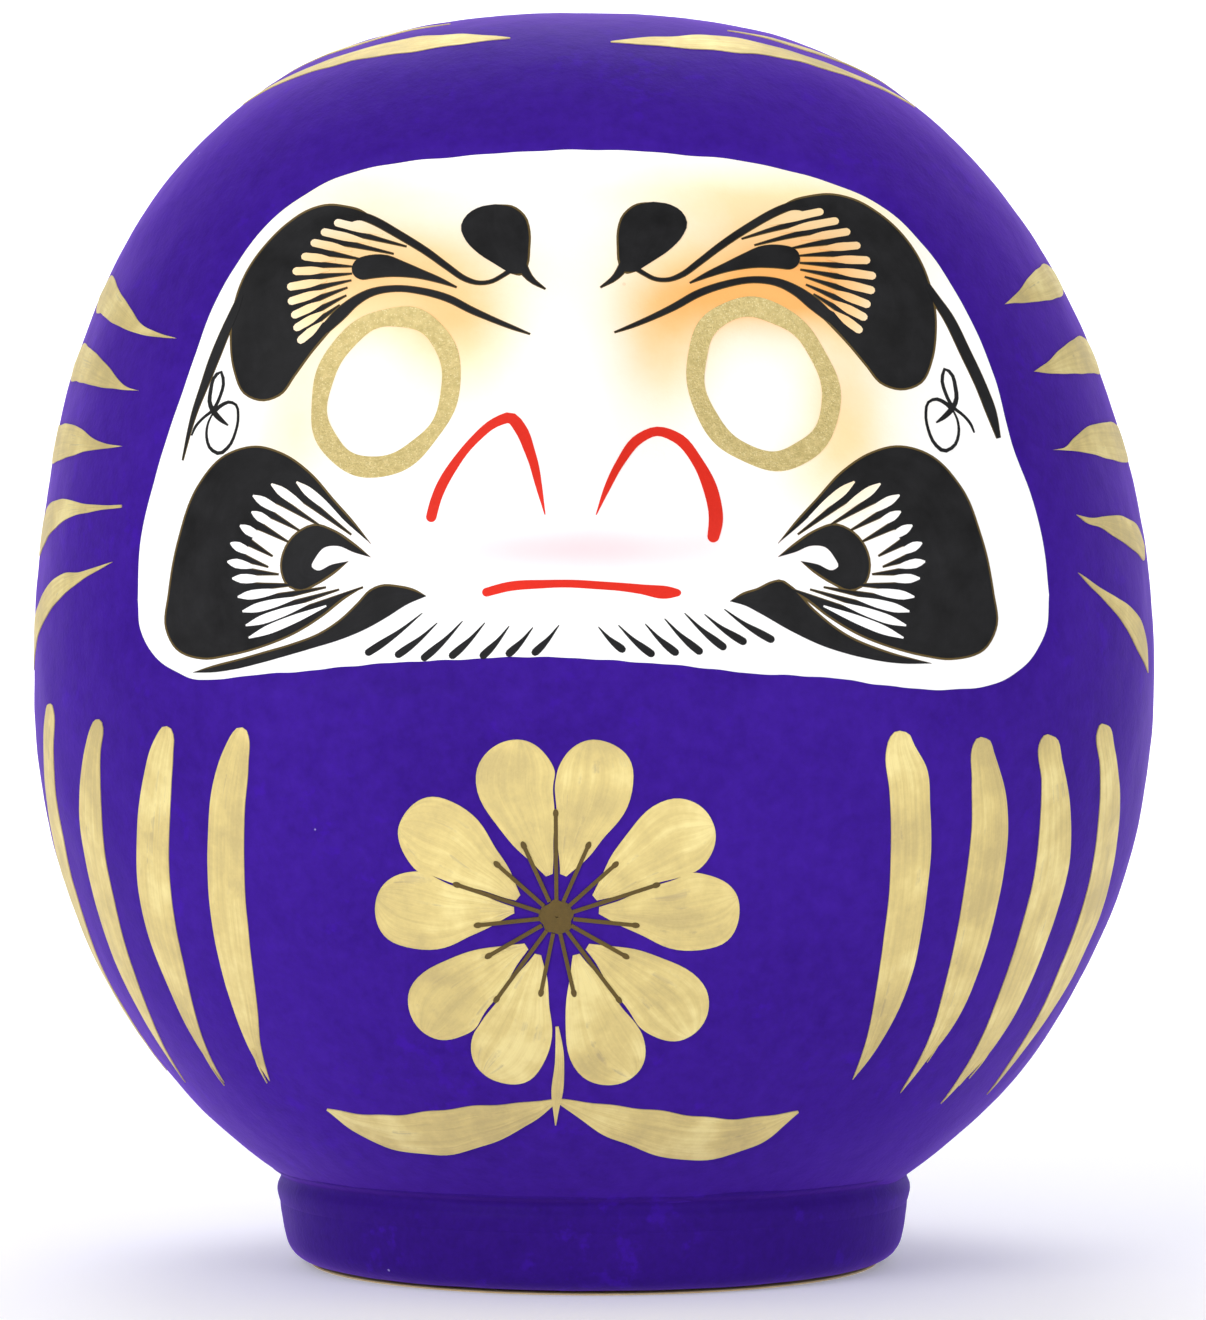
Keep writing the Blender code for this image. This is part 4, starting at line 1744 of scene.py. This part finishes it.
@dataclass
class GoldWork:
    """The gold: bars down the sides, drops beside the face, strokes on the crown and a blossom in front."""

    blossom_centre: tuple[float, float] = (-4.0, 72.0)

    def bars(self) -> list[Shape]:
        """Four bars on each side, as the two edges of each by degrees round and height.

        Returns:
            The patches of both sides.
        """
        left = (
            (((-35.4, 105.3), (-36.6, 104.2), (-37.6, 101.6), (-38.9, 97.1), (-40.2, 90.8), (-41.5, 82.9),
              (-42.7, 75.1), (-43.7, 66.1), (-44.4, 58.1), (-44.8, 51.1), (-44.9, 44.6), (-44.4, 39.8)),
             ((-35.4, 105.3), (-34.8, 104.2), (-34.9, 98.2), (-35.8, 90.9), (-36.7, 83.2), (-37.7, 75.3),
              (-38.6, 67.5), (-39.5, 61.0), (-40.8, 53.9), (-42.7, 46.7), (-44.4, 39.8))),
            (((-44.8, 105.3), (-46.0, 104.2), (-47.3, 101.2), (-48.9, 95.7), (-50.5, 90.0), (-52.2, 82.3),
              (-53.6, 75.4), (-54.6, 67.8), (-55.1, 61.0), (-55.2, 54.0), (-55.1, 47.4), (-54.9, 42.6),
              (-54.5, 38.6)),
             ((-44.8, 105.3), (-44.1, 104.2), (-44.3, 100.3), (-44.9, 95.0), (-46.0, 88.1), (-47.3, 81.1),
              (-48.3, 75.0), (-49.3, 68.0), (-50.3, 60.6), (-51.6, 54.0), (-53.1, 47.3), (-54.1, 42.0),
              (-54.5, 38.6))),
            (((-55.7, 106.2), (-57.2, 105.0), (-58.9, 101.2), (-60.7, 96.0), (-62.3, 90.4), (-63.5, 84.6),
              (-64.4, 79.0), (-65.4, 72.6), (-66.2, 66.0), (-66.8, 59.6), (-67.3, 53.0), (-68.2, 44.6),
              (-69.2, 36.8)),
             ((-55.7, 106.2), (-55.1, 105.2), (-55.9, 100.0), (-56.9, 93.0), (-58.0, 86.0), (-59.0, 80.0),
              (-59.9, 73.4), (-60.9, 66.8), (-62.0, 60.0), (-63.4, 53.3), (-65.2, 47.2), (-67.4, 41.6),
              (-69.2, 36.8))),
            (((-67.4, 108.7), (-69.6, 106.7), (-72.2, 100.0), (-75.0, 91.0), (-77.2, 82.0), (-79.0, 72.0),
              (-80.2, 62.0), (-81.0, 51.0), (-81.4, 37.6)),
             ((-67.4, 108.7), (-66.6, 107.8), (-67.8, 99.3), (-69.4, 90.1), (-71.0, 81.4), (-73.0, 71.0),
              (-75.4, 60.0), (-78.2, 48.0), (-81.4, 37.6))),
        )  # fmt: skip
        right = (
            (((33.2, 104.8), (32.1, 103.4), (31.8, 100.8), (32.4, 94.5), (33.1, 86.3), (33.8, 76.7),
              (34.3, 66.9), (35.1, 57.0), (35.9, 48.0), (36.2, 40.9)),
             ((33.2, 104.8), (34.8, 102.4), (36.5, 97.8), (37.3, 91.0), (38.0, 83.3), (38.4, 76.0),
              (38.8, 67.6), (39.1, 60.7), (38.9, 53.4), (38.1, 48.4), (37.2, 44.2), (36.2, 40.9))),
            (((42.6, 103.5), (41.8, 102.4), (42.0, 95.7), (42.7, 87.4), (43.2, 77.2), (43.8, 67.3),
              (44.7, 57.4), (45.3, 51.3), (45.6, 44.2), (45.5, 37.6)),
             ((42.6, 103.5), (44.4, 100.6), (46.3, 94.0), (47.6, 86.7), (48.4, 76.9), (48.9, 68.0),
              (49.1, 60.0), (49.0, 53.8), (48.3, 49.0), (47.2, 45.0), (46.3, 40.9), (45.5, 37.6))),
            (((51.8, 103.7), (50.7, 102.2), (51.6, 95.3), (52.7, 84.4), (53.5, 75.5), (54.0, 68.1),
              (54.4, 60.6), (54.9, 54.1), (55.5, 48.4), (55.6, 43.6), (55.8, 34.6)),
             ((51.8, 103.7), (54.4, 99.0), (56.9, 90.6), (58.8, 82.1), (59.9, 73.0), (60.3, 64.6),
              (60.4, 56.0), (60.2, 49.6), (59.4, 44.8), (58.2, 41.4), (57.0, 38.4), (55.8, 34.6))),
            (((61.5, 105.3), (60.6, 103.8), (62.0, 97.2), (63.6, 87.6), (65.0, 78.4), (66.1, 68.4),
              (66.9, 60.0), (67.5, 52.4), (68.2, 44.0), (69.3, 34.8)),
             ((61.5, 105.3), (64.8, 100.9), (68.4, 91.9), (71.4, 80.9), (72.9, 70.9), (73.2, 62.0),
              (72.7, 54.3), (71.7, 48.2), (70.6, 42.0), (69.3, 34.8))),
        )  # fmt: skip
        return [self.round_patch([self.blunted(edge) for edge in edges]) for edges in left + right]

    def blunted(self, edge: Knots) -> Knots:
        """An edge of a bar with a knot added that rounds its top.

        Args:
            edge: The edge's knots, from the top down.

        Returns:
            Its knots with the new one.
        """
        (across, up), (next_across, next_up) = edge[:2]
        shoulder = (across + (next_across - across) * 0.6, up - (up - next_up) * 0.2)
        return (edge[0], shoulder, *edge[1:])

    def tip_hairs(self) -> list[Shape]:
        """Stray hair marks where the brush left the bars.

        Returns:
            The strokes of both sides.
        """
        paths = (
            ((37.6, 53.0, 0.8), (37.5, 49.5, 0.6), (37.2, 46.4, 0.1)),
            ((47.6, 52.0, 1.0), (47.5, 47.6, 0.7), (47.2, 43.4, 0.1)),
            ((58.2, 46.0, 1.2), (57.8, 42.0, 0.8), (57.0, 38.0, 0.1)),
            ((59.0, 45.0, 0.8), (58.9, 42.0, 0.5), (58.4, 39.2, 0.1)),
            ((-44.2, 46.0, 0.9), (-44.9, 42.4, 0.6), (-45.1, 39.4, 0.1)),
            ((-54.6, 45.0, 0.9), (-55.0, 41.4, 0.5), (-55.0, 38.0, 0.1)),
        )  # fmt: skip
        return [self.round_stroke(path) for path in paths]

    def drops(self) -> list[Shape]:
        """Five drops beside each side of the face, as the upper and the lower edge of each, tips inwards.

        Returns:
            The patches of both sides.
        """
        left = (
            (((-48.3, 175.7), (-52.8, 177.3), (-56.6, 179.3), (-59.0, 181.6), (-62.2, 183.9),
              (-66.4, 186.3), (-71.0, 188.6), (-76.0, 189.2), (-78.4, 186.0)),
             ((-48.3, 175.7), (-51.8, 176.1), (-56.1, 177.1), (-61.2, 178.8), (-65.6, 180.4),
              (-70.8, 182.1), (-76.0, 183.2), (-78.4, 186.0))),
            (((-53.2, 166.4), (-56.2, 167.4), (-58.6, 169.2), (-61.2, 171.4), (-65.0, 173.6),
              (-71.1, 175.7), (-77.0, 176.3), (-80.0, 173.0)),
             ((-53.2, 166.4), (-56.7, 166.8), (-61.2, 167.4), (-65.6, 168.2), (-72.4, 169.4),
              (-78.0, 170.4), (-80.0, 173.0))),
            (((-54.4, 156.2), (-58.1, 156.9), (-61.7, 158.3), (-65.0, 159.9), (-69.6, 161.0),
              (-75.8, 161.3), (-80.6, 160.6), (-82.6, 157.8)),
             ((-54.4, 156.2), (-57.5, 155.9), (-61.9, 155.6), (-67.2, 154.9), (-74.0, 154.3),
              (-80.0, 154.6), (-82.6, 157.8))),
            (((-53.0, 145.4), (-57.5, 145.4), (-61.3, 145.9), (-65.0, 146.7), (-70.0, 146.8),
              (-76.0, 145.6), (-81.0, 143.0), (-83.0, 139.2)),
             ((-53.0, 144.9), (-58.0, 144.4), (-62.4, 143.7), (-67.0, 142.3), (-71.8, 140.3),
              (-77.0, 138.0), (-81.4, 136.8), (-83.0, 139.2))),
            (((-53.8, 135.0), (-57.6, 133.8), (-60.4, 133.2), (-64.0, 133.0), (-68.0, 131.7),
              (-72.4, 129.2), (-76.8, 125.6), (-80.6, 120.6), (-82.0, 114.6)),
             ((-53.8, 135.0), (-56.9, 133.2), (-60.8, 131.0), (-65.0, 128.4), (-69.6, 125.2),
              (-73.6, 121.6), (-77.8, 117.6), (-82.0, 114.6))),
        )  # fmt: skip
        right = (
            (((55.1, 182.2), (58.3, 184.2), (63.1, 187.5), (69.7, 190.3), (76.6, 191.3),
              (79.5, 189.9), (78.7, 187.2)),
             ((55.1, 182.2), (59.5, 182.8), (63.6, 183.4), (69.1, 184.3), (74.7, 185.5), (78.7, 187.2))),
            (((56.4, 169.9), (59.3, 171.5), (63.3, 174.0), (69.3, 176.6), (75.0, 177.6),
              (78.6, 176.5), (80.3, 173.4)),
             ((56.4, 169.9), (60.1, 169.8), (65.8, 170.1), (73.5, 170.7), (78.9, 171.6), (80.3, 173.4))),
            (((56.2, 155.5), (58.9, 156.2), (61.1, 157.9), (64.1, 159.7), (69.9, 161.1),
              (76.6, 161.5), (81.5, 160.2), (84.1, 157.3)),
             ((56.2, 155.5), (59.3, 155.6), (63.8, 155.2), (69.1, 154.5), (76.5, 154.1),
              (81.9, 155.1), (84.1, 157.3))),
            (((58.0, 143.6), (60.8, 143.1), (63.9, 143.4), (68.0, 143.8), (72.3, 143.2),
              (76.9, 141.6), (79.5, 138.3)),
             ((58.0, 143.6), (59.5, 142.4), (62.6, 141.5), (65.7, 140.1), (69.5, 138.5),
              (73.9, 136.7), (77.9, 135.8), (79.5, 138.3))),
            (((57.1, 133.0), (59.2, 131.6), (61.8, 129.9), (65.2, 128.4), (69.3, 126.3),
              (72.9, 123.2), (75.1, 119.3), (75.5, 114.3)),
             ((57.1, 133.0), (59.2, 130.6), (62.0, 128.0), (64.8, 125.3), (67.9, 122.0),
              (71.3, 118.1), (75.5, 114.3))),
        )  # fmt: skip
        return [self.round_patch(edges) for edges in left + right]

    def round_patch(self, edges: tuple[Knots, Knots]) -> Patch:
        """A patch for the ROUND chart, its degrees taken as lengths while it is drawn."""
        flat = [[(across * DEGREE_LENGTH, up) for across, up in edge] for edge in edges]
        return Patch(flat[0], flat[1], wobble=0.06)

    def round_stroke(self, path: WideKnots, round_start: bool = False) -> Stroke:
        """A stroke for the ROUND chart, its degrees taken as lengths while it is drawn."""
        knots = [(across * DEGREE_LENGTH, up, width) for across, up, width in path]
        return Stroke(knots, round_start=round_start, wobble=0.1)

    def crown(self) -> list[Shape]:
        """The strokes that run out over the crown, seen from above.

        Returns:
            The strokes of both sides.
        """
        paths = (
            ((-14.0, -51.5, 0.3), (-22.0, -49.6, 4.0), (-32.0, -45.4, 7.0), (-43.0, -39.6, 6.0),
             (-55.0, -30.8, 3.2), (-66.0, -19.0, 1.0)),
            ((-26.0, -34.0, 0.3), (-40.0, -27.0, 3.0), (-56.0, -14.0, 2.0), (-64.0, -4.0, 0.4)),
            ((4.6, -53.4, 0.3), (14.0, -50.8, 4.0), (25.0, -46.4, 7.0), (37.0, -40.6, 5.6),
             (49.0, -33.4, 3.0), (61.0, -22.0, 0.8)),
            ((26.0, -36.0, 0.3), (40.0, -28.0, 2.6), (53.0, -17.0, 2.0), (62.0, -6.0, 0.4)),
        )  # fmt: skip
        return [Stroke(path, wobble=0.3) for path in paths]

    def petal_spot(self, turn: float, out: float, side: float) -> tuple[float, float]:
        """A point of the blossom, by its turn in degrees and millimetres out and sideways from the centre.

        Args:
            turn: Degrees clockwise from straight up.
            out: Millimetres out.
            side: Millimetres sideways.

        Returns:
            Its place across and up.
        """
        sine, cosine = math.sin(math.radians(turn)), math.cos(math.radians(turn))
        centre_x, centre_z = self.blossom_centre
        return centre_x + out * sine + side * cosine, centre_z + out * cosine - side * sine

    def blossom(self) -> list[Shape]:
        """A plum blossom, a plain flower crest: two brush strokes for each petal, and two leaves under it.

        Returns:
            The strokes of the petals, leaves and stem.
        """
        petal_half = ((7.5, 1.2, 1.2), (15.0, 4.2, 8.4), (23.5, 6.8, 13.6), (31.5, 6.6, 12.4))
        strokes = []
        for petal in range(5):
            for side in (-1, 1):
                path = [
                    (*self.petal_spot(72 * petal, out, off * side), width) for out, off, width in petal_half
                ]
                strokes.append(Stroke(path, round_end=True, wobble=0.25))
        leaves = (
            (
                (-4.4, 38.2, 0.6), (-14.0, 34.2, 6.0), (-27.0, 31.4, 8.6),
                (-38.0, 31.6, 5.6), (-47.0, 35.0, 0.3),
            ),
            ((-4.4, 38.2, 0.6), (6.5, 34.0, 6.4), (19.0, 31.0, 9.0), (30.0, 31.4, 5.8), (39.0, 35.2, 0.3)),
        )  # fmt: skip
        stem = (
            (-4.2, 52.0, 0.6), (-3.8, 46.0, 1.5), (-4.3, 40.0, 2.0), (-4.6, 36.6, 1.2), (-4.8, 33.4, 0.2),
        )  # fmt: skip
        return strokes + [Stroke(path, wobble=0.25) for path in (*leaves, stem)]

    def stamens(self) -> list[Shape]:
        """The blossom's centre and its stamens, thin dark hairs with a dot at each tip.

        Returns:
            The centre, the hairs and the dots.
        """
        shapes: list[Shape] = [Hoop(self.blossom_centre, (3.0, 3.0), (0.02, 0.02), 0.0)]
        for index in range(15):
            turn = 24 * index
            reach = 14.0 if index % 3 else 18.5
            path = [(*self.petal_spot(turn, out, 0.0), 0.7) for out in (3.0, reach / 2, reach)]
            shapes.append(Stroke(path))
            dot = [(*self.petal_spot(turn, reach, side), 2.3) for side in (-0.5, 0.0, 0.5)]
            shapes.append(Stroke(dot, round_start=True, round_end=True))
        return shapes

    def build(self, skin: bpy.types.Object) -> None:
        """Lays the gold coats on the front skin.

        Args:
            skin: The front skin.
        """
        coats = (
            Coat("gold_side_bars", GOLD, Chart.ROUND, self.bars() + self.tip_hairs(), 0.16 * MM),
            Coat("gold_face_drops", GOLD, Chart.ROUND, self.drops(), 0.16 * MM),
            Coat("gold_crown_strokes", GOLD, Chart.TOP, self.crown(), 0.16 * MM),
            Coat("gold_blossom", GOLD, Chart.FRONT, self.blossom(), 0.16 * MM),
            Coat("blossom_stamens", SEPIA, Chart.FRONT, self.stamens(), 0.22 * MM),
        )
        for coat in coats:
            report(coat.lay(skin))


@dataclass
class Studio:
    """The studio table: a pale sweep, soft lights and a nearly level camera."""

    distance: float = 1.05
    azimuth: float = math.radians(1.6)
    eye_height: float = 128 * MM
    aim: tuple[float, float] = (1.75 * MM, 116.4 * MM)
    lens: float = 147.6
    floor_colour: Rgba = paint_chart(250, 250, 253)

    def camera(self) -> None:
        """Places the camera, in front and a little to the doll's left."""
        lens = bpy.data.cameras.new("camera")
        lens.lens = self.lens
        lens.sensor_width = 36
        lens.clip_start, lens.clip_end = 0.05, 50
        camera = bpy.data.objects.new("camera", lens)
        bpy.context.scene.collection.objects.link(camera)
        across = Vector((math.cos(self.azimuth), math.sin(self.azimuth), 0))
        back = Vector((math.sin(self.azimuth), -math.cos(self.azimuth), 0))
        camera.location = back * self.distance + Vector((0, 0, self.eye_height))
        target = across * self.aim[0] + Vector((0, 0, self.aim[1]))
        camera.rotation_euler = (target - camera.location).to_track_quat("-Z", "Y").to_euler()
        bpy.context.scene.camera = camera

    def sweep(self) -> None:
        """A floor that curves up into the backdrop."""
        rows, columns = 60, 8
        depth = np.linspace(-1.6, 4.2, rows + 1)
        rise = np.maximum(depth - 1.2, 0)
        height = np.where(rise > 0, rise**2 / 1.6, 0)
        across = np.linspace(-4, 4, columns + 1)
        grid_x, grid_y = np.meshgrid(across, depth)
        grid_z = np.repeat(height[:, None], columns + 1, axis=1)
        points = np.stack([grid_x, grid_y, grid_z], axis=-1)
        floor = woven_sheet("floor", points, np.zeros((*points.shape[:2], 2)))
        if floor.data.polygons[0].normal.z < 0:
            floor.data.flip_normals()
        floor.data.shade_smooth()
        material = bpy.data.materials.new("pale_paper_sweep")
        material.use_nodes = True
        shader = material.node_tree.nodes["Principled BSDF"]
        shader.inputs["Base Color"].default_value = self.floor_colour
        shader.inputs["Roughness"].default_value = 0.85
        shader.inputs["Emission Color"].default_value = self.floor_colour
        shader.inputs["Emission Strength"].default_value = 0.18
        floor.data.materials.append(material)

    def light(
        self,
        name: str,
        place: tuple[float, float, float],
        size: float,
        power: float,
        target: tuple[float, float, float] = (0, 0, 0.12),
    ) -> None:
        """One square softbox.

        Args:
            name: The light's name.
            place: Where it hangs, in metres.
            size: Its side, in metres.
            power: Its power in watts.
            target: What it is aimed at.
        """
        lamp = bpy.data.lights.new(name, "AREA")
        lamp.size = size
        lamp.energy = power
        box = bpy.data.objects.new(name, lamp)
        box.location = place
        aim = Vector(target) - box.location
        box.rotation_euler = aim.to_track_quat("-Z", "Y").to_euler()
        bpy.context.scene.collection.objects.link(box)

    def build(self) -> None:
        """Sets up camera, sweep, lights and world."""
        self.camera()
        self.sweep()
        self.light("key_softbox", (-1.05, -1.42, 0.8), 1.0, 16)
        self.light("fill_softbox", (1.1, -1.4, 0.6), 1.0, 8)
        self.light("top_softbox", (-0.1, 0.9, 1.5), 1.0, 9)
        self.light("backdrop_softbox", (0.0, 1.2, 1.3), 1.2, 15, (0.0, 2.6, 0.3))
        world = bpy.data.worlds.new("white_room")
        bpy.context.scene.world = world
        world.use_nodes = True
        sky = world.node_tree.nodes["Background"]
        sky.inputs["Color"].default_value = (1.0, 1.0, 1.0, 1.0)
        sky.inputs["Strength"].default_value = 0.5
        bpy.context.scene.view_settings.view_transform = "Standard"


def main() -> None:
    """Builds the doll's looks and the studio round it."""
    Insides().dress()
    skin = Body().build()
    Foot().build()
    Face().build(skin)
    GoldWork().build(skin)
    Studio().build()


if __name__ == "__main__":
    main()
